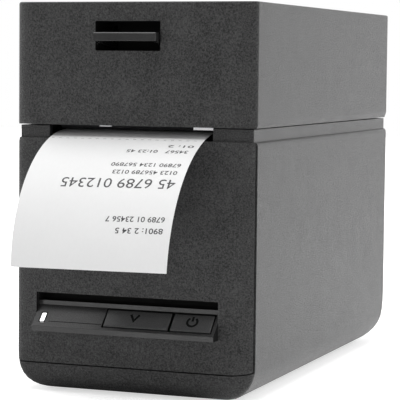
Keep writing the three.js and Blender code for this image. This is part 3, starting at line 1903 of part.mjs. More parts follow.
// The whole machine, centred on its box
const machine = new THREE.Group();
machine.add(printer);
printer.position.set(-middle, -(depth - labelReach) / 2, 0);

export default machine;
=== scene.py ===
"""Dresses the desktop label printer: looks, soft edges, label, icons, camera and light."""

import math

import bmesh
import bpy
from mathutils import Matrix, Vector


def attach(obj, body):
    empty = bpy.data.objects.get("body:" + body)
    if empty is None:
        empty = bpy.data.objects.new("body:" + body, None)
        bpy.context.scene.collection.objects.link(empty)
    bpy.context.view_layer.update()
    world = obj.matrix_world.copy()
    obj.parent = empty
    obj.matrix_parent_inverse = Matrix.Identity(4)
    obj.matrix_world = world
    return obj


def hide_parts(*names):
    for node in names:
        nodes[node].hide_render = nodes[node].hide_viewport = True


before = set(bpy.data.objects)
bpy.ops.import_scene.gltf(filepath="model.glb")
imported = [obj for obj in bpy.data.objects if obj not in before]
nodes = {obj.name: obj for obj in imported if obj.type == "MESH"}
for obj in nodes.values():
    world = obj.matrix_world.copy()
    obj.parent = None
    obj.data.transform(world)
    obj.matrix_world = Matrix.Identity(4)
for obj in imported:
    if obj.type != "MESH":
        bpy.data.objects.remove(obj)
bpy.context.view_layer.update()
MM = 0.001

# Places shared with the model, in millimetres
DEPTH = 225.0
MIDDLE = 59.0
LABEL_LEFT = 17.3
LABEL_WIDTH = 76.2
LABEL_THICKNESS = 0.2
CURL_LEFT = 60.5
CURL_RIGHT = 67.5
FREE_LEFT = 73.6
FREE_RIGHT = 74.6
EXIT_ANGLE = math.radians(19.6)
ENTRY_ANGLE = math.radians(3.0)
EXIT_HEIGHT = 118.85
PLATEN_DISTANCE = 17.0
ROLL_DISTANCE = 137.133
ROLL_RADIUS = 54.933
ROLL_HEIGHT = 73.133
PATH_RADIUS = PLATEN_DISTANCE / (math.sin(EXIT_ANGLE) - math.sin(ENTRY_ANGLE))
END_ANGLE = EXIT_ANGLE + FREE_RIGHT / CURL_RIGHT
LABEL_REACH = (
    CURL_RIGHT * (math.sin(END_ANGLE) - math.sin(EXIT_ANGLE))
    + LABEL_THICKNESS / 2 * math.sin(END_ANGLE)
)
PATH_RISE = PATH_RADIUS * (math.cos(ENTRY_ANGLE) - math.cos(EXIT_ANGLE))
FRONT = -(DEPTH - LABEL_REACH) / 2
SLOPE_HEIGHT = 37.0
SLOPE = math.radians(45.0)


def place(x, y, z):
    """A point given from the casing's left and front faces, in the frame's metres."""
    return Vector(((x - MIDDLE) * MM, (y + FRONT) * MM, z * MM))


# Camera: its turn in radians, its focal length and the frame's width in pixels
YAW, PITCH, ROLL = 0.3613, 0.0737, 0.0098
FOCAL = 1826.6
FRAME_WIDTH = 400.0
SENSOR_WIDTH = 36.0
CLIP_START, CLIP_END = 0.05, 20.0
CAMERA_PLACE = place(381.14, -765.8, 152.74)


def make_camera():
    data = bpy.data.cameras.new("camera")
    data.sensor_width = SENSOR_WIDTH
    data.lens = data.sensor_width * FOCAL / FRAME_WIDTH
    data.clip_start = CLIP_START
    data.clip_end = CLIP_END
    camera = bpy.data.objects.new("camera", data)
    forward = Vector(
        (-math.sin(YAW) * math.cos(PITCH), math.cos(YAW) * math.cos(PITCH), -math.sin(PITCH))
    )
    level = Vector((math.cos(YAW), math.sin(YAW), 0.0))
    upright = level.cross(forward)
    right = math.cos(ROLL) * level + math.sin(ROLL) * upright
    up = math.cos(ROLL) * upright - math.sin(ROLL) * level
    turn = Matrix((right, up, -forward)).transposed().to_4x4()
    camera.matrix_world = Matrix.Translation(CAMERA_PLACE) @ turn
    bpy.context.scene.collection.objects.link(camera)
    bpy.context.scene.camera = camera


make_camera()


# Node building blocks
def add_maths(tree, kind, first, second, clamp=False):
    """A maths node on two inputs, each a number or another node's output."""
    node = tree.nodes.new("ShaderNodeMath")
    node.operation = kind
    node.use_clamp = clamp
    for socket, value in zip(node.inputs, (first, second)):
        if isinstance(value, (int, float)):
            socket.default_value = value
        else:
            tree.links.new(value, socket)
    return node.outputs[0]


def add_ramp(tree, value, start, end, low=0.0, high=1.0):
    """A level that goes from low to high while the value goes from start to end."""
    node = tree.nodes.new("ShaderNodeMapRange")
    for name, number in (
        ("From Min", start), ("From Max", end), ("To Min", low), ("To Max", high)
    ):
        node.inputs[name].default_value = number
    tree.links.new(value, node.inputs["Value"])
    return node.outputs["Result"]


def scaled(colour, factor):
    return tuple(c * factor for c in colour)


class Sheet:
    """A node material under construction, read in object coordinates, in metres."""

    def __init__(self, name):
        self.material = bpy.data.materials.new(name)
        self.material.use_nodes = True
        self.tree = self.material.node_tree
        self.shader = self.tree.nodes["Principled BSDF"]
        self.coordinates = self.add("ShaderNodeTexCoord")

    def add(self, kind, **values):
        node = self.tree.nodes.new(kind)
        for key, value in values.items():
            setattr(node, key, value)
        return node

    def link(self, source, target):
        self.tree.links.new(source, target)

    def stretched(self, scale):
        mapping = self.add("ShaderNodeMapping")
        mapping.inputs["Scale"].default_value = scale
        self.link(self.coordinates.outputs["Object"], mapping.inputs["Vector"])
        return mapping.outputs["Vector"]

    def noise(self, scale=1.0, detail=2.0, roughness=0.5, stretch=None):
        vector = self.stretched(stretch) if stretch else self.coordinates.outputs["Object"]
        node = self.add("ShaderNodeTexNoise")
        node.inputs["Scale"].default_value = scale
        node.inputs["Detail"].default_value = detail
        node.inputs["Roughness"].default_value = roughness
        self.link(vector, node.inputs["Vector"])
        return node.outputs["Fac"]

    def spread(self, value, low, high, start=0.3, end=0.7):
        return add_ramp(self.tree, value, start, end, low, high)

    def maths(self, kind, first, second):
        return add_maths(self.tree, kind, first, second)

    def sum(self, first, first_share, second, second_share):
        return self.maths(
            "ADD", self.maths("MULTIPLY", first, first_share),
            self.maths("MULTIPLY", second, second_share)
        )

    def tint(self, value, dark, light):
        node = self.add("ShaderNodeMix", data_type="RGBA")
        node.inputs["A"].default_value = (*dark, 1.0)
        node.inputs["B"].default_value = (*light, 1.0)
        self.link(value, node.inputs["Factor"])
        self.link(node.outputs["Result"], self.shader.inputs["Base Color"])

    def mottled(self, value, colour, dark, light):
        self.tint(self.spread(value, 0.0, 1.0), scaled(colour, dark), scaled(colour, light))

    def rough(self, value):
        self.link(value, self.shader.inputs["Roughness"])

    def relief(self, height, distance):
        node = self.add("ShaderNodeBump")
        node.inputs["Distance"].default_value = distance
        node.inputs["Strength"].default_value = 1.0
        self.link(height, node.inputs["Height"])
        self.link(node.outputs["Normal"], self.shader.inputs["Normal"])

    def set(self, **values):
        for key, value in values.items():
            self.shader.inputs[key.replace("_", " ")].default_value = value


# Grain: shares of its fine and broad parts, the broad one's size against the fine one's, the band
# of noise that carries the tone, and how the gloss varies
FINE_SHARE = 0.82
BROAD_SHARE = 0.18
BROAD_SIZE = 22.0
GRAIN_BAND = (0.36, 0.64)
PIT_SHINE = 0.4
GLOSS_SPREAD = 0.03


def grained_plastic(name, colour, roughness, grain, depth, contrast, specular):
    """Moulded plastic with an eroded grain: fine pits, faint mottling and uneven gloss."""
    sheet = Sheet(name)
    fine = sheet.noise(grain, detail=3.0, roughness=0.65)
    broad = sheet.noise(grain / BROAD_SIZE, detail=3.0, roughness=0.55)
    mixed = sheet.sum(fine, FINE_SHARE, broad, BROAD_SHARE)
    tone = sheet.spread(mixed, 0.0, 1.0, *GRAIN_BAND)
    sheet.tint(tone, scaled(colour, 1.0 - contrast), scaled(colour, 1.0 + contrast))
    shine = sheet.spread(mixed, PIT_SHINE, 1.0, *GRAIN_BAND)
    sheet.link(shine, sheet.shader.inputs["Specular Tint"])
    sheet.rough(sheet.spread(broad, roughness - GLOSS_SPREAD, roughness + GLOSS_SPREAD))
    sheet.relief(fine, distance=depth)
    sheet.set(Specular_IOR_Level=specular)
    return sheet.material


def smooth_plastic(name, colour, roughness, specular=0.5):
    """Plain moulded plastic with faint flow mottling and a slight ripple."""
    sheet = Sheet(name)
    mottle = sheet.noise(scale=90.0, detail=3.0, roughness=0.6)
    fine = sheet.noise(scale=1400.0, detail=2.0, roughness=0.5)
    sheet.mottled(mottle, colour, dark=0.85, light=1.15)
    sheet.rough(sheet.spread(mottle, low=roughness - 0.06, high=roughness + 0.06))
    sheet.relief(fine, distance=0.00003)
    sheet.set(Specular_IOR_Level=specular)
    return sheet.material


def brushed_metal(name, colour, roughness, stretch):
    """Metal with drawn marks that run along the axis whose stretch is small."""
    sheet = Sheet(name)
    lines = sheet.noise(detail=4.0, roughness=0.6, stretch=stretch)
    cloud = sheet.noise(scale=60.0, detail=3.0, roughness=0.5)
    sheet.mottled(cloud, colour, dark=0.85, light=1.08)
    sheet.rough(sheet.spread(lines, low=roughness - 0.08, high=roughness + 0.1))
    sheet.relief(lines, distance=0.00002)
    sheet.set(Metallic=1.0)
    return sheet.material


def rubber(name, colour):
    """Ground rubber: dull, with a faint cross-ground texture."""
    sheet = Sheet(name)
    ground = sheet.noise(detail=3.0, roughness=0.6, stretch=(2600.0, 500.0, 500.0))
    dust = sheet.noise(scale=45.0, detail=4.0, roughness=0.6)
    sheet.mottled(dust, colour, dark=0.8, light=1.7)
    sheet.rough(sheet.spread(ground, low=0.72, high=0.9))
    sheet.relief(ground, distance=0.00004)
    sheet.set(Specular_IOR_Level=0.3)
    return sheet.material


def paper(name, colour):
    """Coated thermal paper: nearly plain, with soft fibres and a faint ripple."""
    sheet = Sheet(name)
    fibre = sheet.noise(detail=4.0, roughness=0.6, stretch=(900.0, 420.0, 420.0))
    cloud = sheet.noise(scale=28.0, detail=3.0, roughness=0.5)
    sheet.mottled(sheet.sum(fibre, 0.5, cloud, 0.5), colour, dark=0.965, light=1.0)
    sheet.rough(sheet.spread(cloud, low=0.5, high=0.62))
    cloud_rise = sheet.maths("MULTIPLY", cloud, 6.0)
    sheet.relief(sheet.maths("ADD", fibre, cloud_rise), distance=0.00003)
    sheet.set(Specular_IOR_Level=0.3)
    return sheet.material


# The roll: the rings' pitch in radians a metre, their waver in metres, and the rim left plain
RING_RATE = 9000.0
RING_WAVER = 0.0015
RIM_START = 0.25
RIM_BLEND = 0.1


def wound_paper(name, colour, line, centre):
    """The roll: fine rings of paper edge on its ends, plain paper round it."""
    sheet = Sheet(name)
    apart = sheet.add("ShaderNodeSeparateXYZ")
    sheet.link(sheet.coordinates.outputs["Object"], apart.inputs["Vector"])
    dy = sheet.maths("SUBTRACT", apart.outputs["Y"], centre.y)
    dz = sheet.maths("SUBTRACT", apart.outputs["Z"], centre.z)
    square = sheet.maths(
        "ADD", sheet.maths("MULTIPLY", dy, dy), sheet.maths("MULTIPLY", dz, dz)
    )
    radius = sheet.maths("SQRT", square, 0.0)
    waver = sheet.maths("MULTIPLY", sheet.noise(scale=40.0), RING_WAVER)
    phase = sheet.maths("MULTIPLY", sheet.maths("ADD", radius, waver), RING_RATE)
    rings = sheet.maths("SINE", phase, 0.0)
    wound = sheet.spread(rings, 0.0, 1.0, -1.0, 1.0)
    rim = (ROLL_RADIUS - RIM_START) * MM
    plain = sheet.spread(radius, 0.0, 1.0, rim, rim + RIM_BLEND * MM)
    sheet.tint(sheet.maths("MAXIMUM", wound, plain), line, colour)
    sheet.rough(sheet.spread(sheet.noise(scale=120.0), low=0.6, high=0.8))
    sheet.relief(rings, distance=0.00002)
    return sheet.material


def circuit_board(name, colour):
    """Lacquer over faint rectangles, like the traces and pads of a board."""
    sheet = Sheet(name)
    brick = sheet.add("ShaderNodeTexBrick")
    brick.inputs["Scale"].default_value = 260.0
    brick.inputs["Color1"].default_value = (*scaled(colour, 1.25), 1.0)
    brick.inputs["Color2"].default_value = (*scaled(colour, 0.8), 1.0)
    brick.inputs["Mortar"].default_value = (*scaled(colour, 1.9), 1.0)
    brick.inputs["Mortar Size"].default_value = 0.03
    sheet.link(sheet.coordinates.outputs["Object"], brick.inputs["Vector"])
    sheet.link(brick.outputs["Color"], sheet.shader.inputs["Base Color"])
    sheet.rough(sheet.spread(sheet.noise(scale=200.0), low=0.3, high=0.5))
    sheet.relief(brick.outputs["Fac"], distance=0.00003)
    return sheet.material


def card(name, colour):
    """Brown board with long fibres."""
    sheet = Sheet(name)
    fibre = sheet.noise(detail=4.0, roughness=0.65, stretch=(350.0, 1200.0, 1200.0))
    sheet.mottled(fibre, colour, dark=0.7, light=1.25)
    sheet.rough(sheet.spread(fibre, low=0.8, high=0.95))
    sheet.relief(fibre, distance=0.00006)
    return sheet.material


def lit_lens(name, colour, strength):
    """White light-pipe that glows, with a faint cloud in it."""
    sheet = Sheet(name)
    cloud = sheet.noise(scale=500.0)
    sheet.mottled(cloud, colour, dark=0.92, light=1.0)
    sheet.rough(sheet.spread(cloud, low=0.25, high=0.35))
    sheet.set(Emission_Color=(*colour, 1.0), Emission_Strength=strength)
    return sheet.material


def ink(name, colour, specular=0.5):
    """Print: speckled where single dots are weak."""
    sheet = Sheet(name)
    dots = sheet.noise(scale=5200.0, detail=1.0, roughness=0.5)
    sheet.mottled(dots, colour, dark=0.8, light=1.6)
    sheet.rough(sheet.spread(dots, low=0.55, high=0.7))
    sheet.set(Specular_IOR_Level=specular)
    return sheet.material


# Looks: a grain is its noise's scale, and depth is its relief in metres
CHARCOAL = (0.0185, 0.0185, 0.0187)
DULL = 0.1
roll_centre = place(MIDDLE, ROLL_DISTANCE, ROLL_HEIGHT)
shell = grained_plastic(
    "shell_plastic", CHARCOAL,
    roughness=0.38, grain=1500.0, depth=0.00045, contrast=0.75, specular=0.5
)
inner = smooth_plastic("inner_plastic", (0.014, 0.014, 0.015), roughness=0.6)
# Near black with little shine: painted shade, put on the walls of hollows and of the gaps round
# the keys.
painted_shade = smooth_plastic("painted_shade_plastic", (0.011, 0.011, 0.011), roughness=0.8, specular=DULL)
satin = grained_plastic(
    "satin_plastic", scaled(CHARCOAL, 1.08),
    roughness=0.24, grain=2200.0, depth=0.00002, contrast=0.15, specular=0.6
)
# The keys' plastic is the charcoal made 2.6 times lighter: painted light that makes up for the
# shade falling on the keys.
key_plastic = grained_plastic(
    "key_plastic", scaled(CHARCOAL, 2.6),
    roughness=0.32, grain=2200.0, depth=0.00002, contrast=0.12, specular=0.6
)
# The shelf's up-facing slope: a lighter, rougher copy of the panel's plastic. Its lighter tone is
# painted light on the side that faces up.
lightened_slope_plastic = grained_plastic(
    "lightened_slope_plastic", scaled(CHARCOAL, 1.2),
    roughness=0.34, grain=2200.0, depth=0.00002, contrast=0.12, specular=0.5
)
steel = brushed_metal(
    "steel", (0.6, 0.6, 0.61), roughness=0.34, stretch=(40.0, 1500.0, 1500.0)
)
dull_steel = brushed_metal(
    "dull_steel", (0.42, 0.42, 0.43), roughness=0.42, stretch=(1500.0, 60.0, 1500.0)
)
anodised = smooth_plastic("anodised", (0.03, 0.03, 0.032), roughness=0.42)
brass = brushed_metal(
    "brass", (0.62, 0.46, 0.18), roughness=0.3, stretch=(1800.0, 1800.0, 1800.0)
)
black_rubber = rubber("rubber", (0.014, 0.014, 0.014))
white_paper = paper("paper", (0.87, 0.87, 0.87))
roll_paper = wound_paper(
    "roll_paper", (0.86, 0.86, 0.85), line=(0.62, 0.62, 0.6), centre=roll_centre
)
board = circuit_board("board", (0.012, 0.07, 0.025))
cardboard = card("cardboard", (0.33, 0.2, 0.09))
light_lens = lit_lens("light", (0.95, 0.95, 0.95), strength=1.1)
gear_plastic = smooth_plastic("gear_plastic", (0.72, 0.7, 0.63), roughness=0.5)
grey_ink = ink("ink", (0.05, 0.05, 0.052))
# This ink prints the icons, and the same ink paints a line of shade round the lens.
icon_ink_and_painted_shade = ink("icon_ink_and_painted_shade", (0.003, 0.003, 0.003), specular=DULL)

LOOKS = {
    shell: (
        "main_housing",
        "front_cover",
        "neck_frame",
        "lid_shell",
    ),
    satin: ("control_panel", "release_handle"),
    inner: (
        "base_cover",
        "power_inlet",
        "stepper_motor",
        "label_deck",
        "gap_sensor",
        "label_bay",
        "guide_left",
        "guide_right",
        "lid_liner",
    ),
    key_plastic: ("feed_key", "power_key"),
    steel: (
        "tear_bar",
        "platen_shaft",
        "head_pivot_rod",
        "lever_shaft",
        "catch_left",
        "catch_right",
        "hinge_pin_left",
        "hinge_pin_right",
    ),
    dull_steel: (
        "network_socket",
        "usb_socket",
        "mechanism_frame",
        "head_mount",
        "head_carrier",
        "hinge_leaf_left",
        "hinge_leaf_right",
        "latch_hook_left",
        "latch_hook_right",
    ),
    anodised: ("print_head",),
    brass: ("platen_bush_left", "platen_bush_right", "motor_pinion"),
    black_rubber: (
        "foot_front_left",
        "foot_front_right",
        "foot_rear_left",
        "foot_rear_right",
        "platen_roller",
    ),
    white_paper: ("label_web",),
    roll_paper: ("label_roll",),
    board: ("key_board", "main_board", "rear_board"),
    cardboard: ("roll_core",),
    light_lens: ("status_light",),
    gear_plastic: ("platen_gear", "idler_gear", "guide_pinion"),
}
for look, names in LOOKS.items():
    for name in names:
        data = nodes[name].data
        data.materials.clear()
        data.materials.append(look)


def finished(build, name):
    """The mesh of a construction that is done with."""
    mesh = bpy.data.meshes.new(name)
    build.to_mesh(mesh)
    build.free()
    return mesh


def smooth(mesh, angle):
    """Smooth shading, broken at edges sharper than the angle."""
    mesh.polygons.foreach_set("use_smooth", [True] * len(mesh.polygons))
    mesh.set_sharp_from_angle(angle=angle)


def new_piece(name, mesh, material, body):
    mesh.materials.clear()
    mesh.materials.append(material)
    piece = bpy.data.objects.new(name, mesh)
    bpy.context.scene.collection.objects.link(piece)
    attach(piece, body)
    return piece


# Soft edges: each moulding that shows is remade from its solid with its sharp edges rounded,
# and the walls of its hollows and of the gaps round the keys are painted near black with little
# shine, as painted shade. WELD and SOFT_EDGE are in metres. Zones are in millimetres from the
# casing's left face, front face and ground, and faces that lie behind the front by less than SKIN
# are outside.
WELD = 0.00001
FLAT = math.radians(2.0)
SHARP = math.radians(30.0)
SOFT_EDGE = 0.0003
EDGE_STEPS = 2
AREA_WEIGHT = 100
SKIN = 0.2
RECESS = ((38.0, 74.0), (157.0, 174.5))
PANEL_HOLE = ((9.0, 104.0), (28.5, 48.5))
LEDGE_DEPTH = 3.5
SLOT_SIDES = (12.0, 101.0)
SLOT_FLOOR = 31.0
SLOPE_FACING = 0.6
SIDE_FACING = 0.9
CAP_FACING = -0.3
LENS_SHARE = 0.9
KEY_TRIM = 0.00025


def behind_front(centre, limits):
    (left, right), (low, high) = limits
    return centre.y > SKIN and left < centre.x < right and low < centre.z < high


# Painted shade: the faces of the lid's recess behind the front are made near black.
def lid_zone(centre, normal):
    return painted_shade if behind_front(centre, RECESS) else None


# Painted shade: the walls of the front's panel hole are made near black.
def cover_zone(centre, normal):
    return painted_shade if behind_front(centre, PANEL_HOLE) else None


# Painted shade in the shelf's pocket behind the ledge and on the upright walls of its openings.
def shelf_zone(centre, normal):
    if centre.y > LEDGE_DEPTH:
        return painted_shade
    # Painted light: faces that look up and forward take the lighter slope plastic.
    if normal.y < -SLOPE_FACING and normal.z > SLOPE_FACING:
        return lightened_slope_plastic
    upright = abs(normal.x) > SIDE_FACING or normal.y > SLOPE_FACING
    inside = SLOT_SIDES[0] < centre.x < SLOT_SIDES[1] and centre.z > SLOT_FLOOR
    return painted_shade if inside and upright else None


# Painted shade: a key cap's sides and back are made near black, to darken the gap round it.
def key_zone(centre, normal):
    return None if normal.y < CAP_FACING else painted_shade


def draw_in(build, inset):
    """Draw a solid's ends in, across and along the slope, to widen the gap around it."""
    for direction in (Vector((1.0, 0.0, 0.0)), Vector((0.0, 1.0, 1.0)).normalized()):
        places = [v.co.dot(direction) for v in build.verts]
        low, high = min(places), max(places)
        share = 2.0 * inset / (high - low)
        for vertex, place_along in zip(build.verts, places):
            vertex.co += direction * ((low + high) / 2.0 - place_along) * share


def soften(node, name, body, zone=None, inset=0.0):
    """Remake a node's solid with soft edges, as the piece that is shown in its place.

    A zone picks the look of each face by its centre and normal, and None is the node's own.
    """
    build = bmesh.new()
    build.from_mesh(nodes[node].data)
    bmesh.ops.remove_doubles(build, verts=build.verts, dist=WELD)
    if inset:
        draw_in(build, inset)
    bmesh.ops.dissolve_limit(
        build, angle_limit=FLAT, verts=build.verts, edges=build.edges, delimit=set()
    )
    bmesh.ops.connect_verts_concave(build, faces=build.faces)
    edges = [
        e for e in build.edges if len(e.link_faces) == 2 and e.calc_face_angle(0.0) > SHARP
    ]
    bmesh.ops.bevel(
        build, geom=edges, offset=SOFT_EDGE, offset_type="OFFSET", segments=EDGE_STEPS,
        profile=0.5, affect="EDGES", clamp_overlap=True,
    )
    bmesh.ops.triangulate(
        build, faces=[f for f in build.faces if len(f.verts) > 4], ngon_method="EAR_CLIP"
    )
    looks = [nodes[node].data.materials[0]]
    places = []
    for face in build.faces:
        centre = face.calc_center_median() / MM + Vector((MIDDLE, -FRONT, 0.0))
        look = zone(centre, face.normal) if zone else None
        if look and look not in looks:
            looks.append(look)
        places.append(looks.index(look) if look else 0)
    mesh = finished(build, name)
    smooth(mesh, SHARP)
    piece = new_piece(name, mesh, looks[0], body)
    for look in looks[1:]:
        mesh.materials.append(look)
    mesh.polygons.foreach_set("material_index", places)
    even = piece.modifiers.new("even", "WEIGHTED_NORMAL")
    even.weight = AREA_WEIGHT
    even.keep_sharp = True
    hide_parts(node)


soften("control_panel", "shelf", "printer_body", shelf_zone)
soften("feed_key", "feed_key_cap", "feed_button", key_zone, KEY_TRIM)
soften("power_key", "power_key_cap", "power_button", key_zone, KEY_TRIM)
soften("lid_shell", "lid_cover", "lid", lid_zone)
soften("front_cover", "front_panel", "printer_body", cover_zone)
soften("main_housing", "casing", "printer_body")
soften("neck_frame", "neck_band", "printer_body")
soften("release_handle", "release_bar", "release_lever")


def make_lens():
    """The status light's lens, a little smaller than its well, so a dark gap shows around it."""
    mesh = nodes["status_light"].data.copy()
    mesh.name = "lens"
    points = [v.co for v in mesh.vertices]
    middle = sum(points, Vector()) / len(points)
    for vertex in mesh.vertices:
        vertex.co = middle + (vertex.co - middle) * LENS_SHARE
    piece = new_piece("lens", mesh, light_lens, "printer_body")
    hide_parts("status_light")


make_lens()

# Label: a sheet a little thinner than its solid, so that it lies inside it
INSIDE_STEPS = 10
CURL_STEPS = 48
ACROSS_STEPS = 24
LABEL_LIFT = LABEL_THICKNESS / 2 * 0.9
WEB_STAND = 0.4
LABEL_SHARP = math.radians(40)


def across(x, left, right):
    """A value that changes evenly from the label's left edge to its right edge."""
    return left + (right - left) * (x - LABEL_LEFT) / LABEL_WIDTH


def label_point(x, along, lift):
    """A point on the label's free end: its distance along from the slot, and its lift."""
    radius = across(x, CURL_LEFT, CURL_RIGHT)
    angle = EXIT_ANGLE + along / radius
    y = -radius * (math.sin(angle) - math.sin(EXIT_ANGLE)) - lift * math.sin(angle)
    z = EXIT_HEIGHT - radius * (math.cos(EXIT_ANGLE) - math.cos(angle)) + lift * math.cos(angle)
    return place(x, y, z)


def inner_point(angle, x, lift):
    """A point on the label between the platen and the slot, by the label's slope there."""
    y = PLATEN_DISTANCE - PATH_RADIUS * (math.sin(angle) - math.sin(ENTRY_ANGLE))
    z = EXIT_HEIGHT + PATH_RISE - PATH_RADIUS * (math.cos(ENTRY_ANGLE) - math.cos(angle))
    return place(x, y - lift * math.sin(angle), z + lift * math.cos(angle))


def make_label():
    start = ROLL_DISTANCE - (ROLL_RADIUS + WEB_STAND) * math.sin(ENTRY_ANGLE)
    print_height = EXIT_HEIGHT + PATH_RISE
    columns = [LABEL_LEFT + LABEL_WIDTH * i / ACROSS_STEPS for i in range(ACROSS_STEPS + 1)]
    sides = []
    for lift in (LABEL_LIFT, -LABEL_LIFT):
        rows = []
        for i in range(INSIDE_STEPS):
            y = start + (PLATEN_DISTANCE - start) * i / INSIDE_STEPS
            z = print_height + (y - PLATEN_DISTANCE) * math.tan(ENTRY_ANGLE)
            rows.append([
                place(x, y - lift * math.sin(ENTRY_ANGLE), z + lift * math.cos(ENTRY_ANGLE))
                for x in columns
            ])
        for i in range(INSIDE_STEPS):
            angle = ENTRY_ANGLE + (EXIT_ANGLE - ENTRY_ANGLE) * i / INSIDE_STEPS
            rows.append([inner_point(angle, x, lift) for x in columns])
        for i in range(CURL_STEPS + 1):
            share = i / CURL_STEPS
            rows.append([
                label_point(x, across(x, FREE_LEFT, FREE_RIGHT) * share, lift) for x in columns
            ])
        sides.append(rows)
    build = bmesh.new()
    grids = [[[build.verts.new(p) for p in row] for row in rows] for rows in sides]
    top, under = grids
    last = len(top) - 1
    for i in range(last):
        for j in range(ACROSS_STEPS):
            build.faces.new((top[i][j], top[i][j + 1], top[i + 1][j + 1], top[i + 1][j]))
            build.faces.new((under[i][j], under[i + 1][j], under[i + 1][j + 1], under[i][j + 1]))
        for j in (0, ACROSS_STEPS):
            ring = (top[i][j], top[i + 1][j], under[i + 1][j], under[i][j])
            build.faces.new(ring if j == 0 else ring[::-1])
    for i in (0, last):
        for j in range(ACROSS_STEPS):
            ring = (top[i][j], under[i][j], under[i][j + 1], top[i][j + 1])
            build.faces.new(ring if i == 0 else ring[::-1])
    bmesh.ops.recalc_face_normals(build, faces=build.faces)
    mesh = finished(build, "label")
    smooth(mesh, LABEL_SHARP)
    label = new_piece("label", mesh, white_paper, "printer_body")
    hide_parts("label_web")


make_label()

# Printed numerals and the perforation: small numerals are drawn bolder by TEXT_WEIGHT, and each
# is cut every PRINT_STEP so that it follows the label's curl
PRINT_LIFT = 0.03
PRINT_STEP = 0.6
TEXT_WEIGHT = 0.012
TEXT_STEPS = 3
BOLD_LIMIT = 3.0


def text_mesh(words, weight):
    """Flat numerals of unit size."""
    curve = bpy.data.curves.new("words", "FONT")
    curve.body = words
    curve.size = 1.0
    curve.offset = weight
    curve.resolution_u = TEXT_STEPS
    holder = bpy.data.objects.new("words", curve)
    bpy.context.scene.collection.objects.link(holder)
    bpy.context.view_layer.update()
    mesh = bpy.data.meshes.new_from_object(
        holder.evaluated_get(bpy.context.evaluated_depsgraph_get())
    )
    bpy.data.objects.remove(holder)
    bpy.data.curves.remove(curve)
    return mesh


# Each line: the numerals, their height, the right end's x, the distance along the label to
# the foot of the line, and the length that it takes across.
LINES = (
    ("01: 2", 2.2, 91.0, 5.6, 12.5),
    ("34567   01:23 45", 2.4, 89.8, 10.4, 29.5),
    ("67890 1234 567890", 2.4, 89.8, 20.4, 33.4),
    ("0123 456789 0123", 2.4, 89.5, 25.2, 30.9),
    ("45 6789 012345", 5.2, 90.4, 30.4, 54.7),
    ("6789 01 23456 7", 2.6, 89.8, 49.7, 28.2),
    ("8901: 2 34 5", 2.6, 89.8, 55.0, 22.6),
)


def make_print():
    build = bmesh.new()
    for words, height, right, along, length in LINES:
        mesh = text_mesh(words, TEXT_WEIGHT if height < BOLD_LIMIT else 0.0)
        xs = [v.co.x for v in mesh.vertices]
        ys = [v.co.y for v in mesh.vertices]
        wide = max(xs) - min(xs)
        tall = max(ys) - min(ys)
        low = min(xs)
        foot = min(ys)
        lines = bmesh.new()
        lines.from_mesh(mesh)
        cuts = math.ceil(height / PRINT_STEP)
        for i in range(1, cuts):
            geometry = lines.verts[:] + lines.edges[:] + lines.faces[:]
            level = (0.0, foot + tall * i / cuts, 0.0)
            bmesh.ops.bisect_plane(lines, geom=geometry, plane_co=level, plane_no=(0, 1, 0))
        for v in lines.verts:
            x = right - (v.co.x - low) / wide * length
            s = along + (v.co.y - foot) / tall * height
            v.co = label_point(x, s, LABEL_LIFT + PRINT_LIFT)
        piece = finished(lines, "line")
        build.from_mesh(piece)
        bpy.data.meshes.remove(piece)
        bpy.data.meshes.remove(mesh)
    result = finished(build, "label_numerals")
    new_piece("label_numerals", result, grey_ink, "printer_body")


PERFORATION_ALONG = 0.5
PERFORATION_MARGIN = 1.2
PERFORATION_PITCH = 3.7
PERFORATION_DASH = 1.5
PERFORATION_WIDTH = 0.22


def make_perforation():
    build = bmesh.new()
    count = int(LABEL_WIDTH / PERFORATION_PITCH)
    for i in range(count):
        left = LABEL_LEFT + PERFORATION_MARGIN + i * PERFORATION_PITCH
        corners = [
            (left, PERFORATION_ALONG),
            (left + PERFORATION_DASH, PERFORATION_ALONG),
            (left + PERFORATION_DASH, PERFORATION_ALONG + PERFORATION_WIDTH),
            (left, PERFORATION_ALONG + PERFORATION_WIDTH),
        ]
        verts = [build.verts.new(label_point(x, s, LABEL_LIFT + PRINT_LIFT)) for x, s in corners]
        build.faces.new(verts)
    new_piece(
        "perforation", finished(build, "perforation"), grey_ink, "printer_body"
    )


make_print()
make_perforation()

# Flat lines on the slope: the icons printed on the two caps, and a black line round the lens that
# is painted shade for the gap there. Places are the distance across and the distance up the
# slope.
ICON_LIFT = 0.03
ICON_LINE = 1.1
LENS_GAP_SHADE_LINE = 0.45
MITRE_LIMIT = 0.4
FEED_POINTS = [(58.2, 1.8), (60.3, -1.7), (62.4, 1.8)]
POWER_CENTRE = Vector((88.7, -0.3))
POWER_RADIUS = 2.4
POWER_STEPS = 28
POWER_START = 125
POWER_SWEEP = 290
POWER_STEM = (0.3, 3.0)


def on_slope(x, up, lift):
    """A point on the keys: up the slope from the front plane, and lifted off it."""
    y = up * math.cos(SLOPE) - lift * math.sin(SLOPE)
    z = SLOPE_HEIGHT + up * math.sin(SLOPE) + lift * math.cos(SLOPE)
    return place(x, y, z)


def stroke(build, points, width):
    """A flat line of even width through points given as (x, up) on the slope."""
    count = len(points)
    sides = ([], [])
    for i, point in enumerate(points):
        before = Vector(points[max(i - 1, 0)])
        after = Vector(points[min(i + 1, count - 1)])
        along = (after - before).normalized()
        beside = Vector((-along.y, along.x))
        if 0 < i < count - 1:
            first = (Vector(point) - before).normalized()
            second = (after - Vector(point)).normalized()
            beside = beside / max(MITRE_LIMIT, math.cos(first.angle(second) / 2))
        for row, sign in zip(sides, (1, -1)):
            u, v = Vector(point) + beside * sign * width / 2
            row.append(build.verts.new(on_slope(u, v, ICON_LIFT)))
    for i in range(count - 1):
        build.faces.new((sides[0][i], sides[0][i + 1], sides[1][i + 1], sides[1][i]))


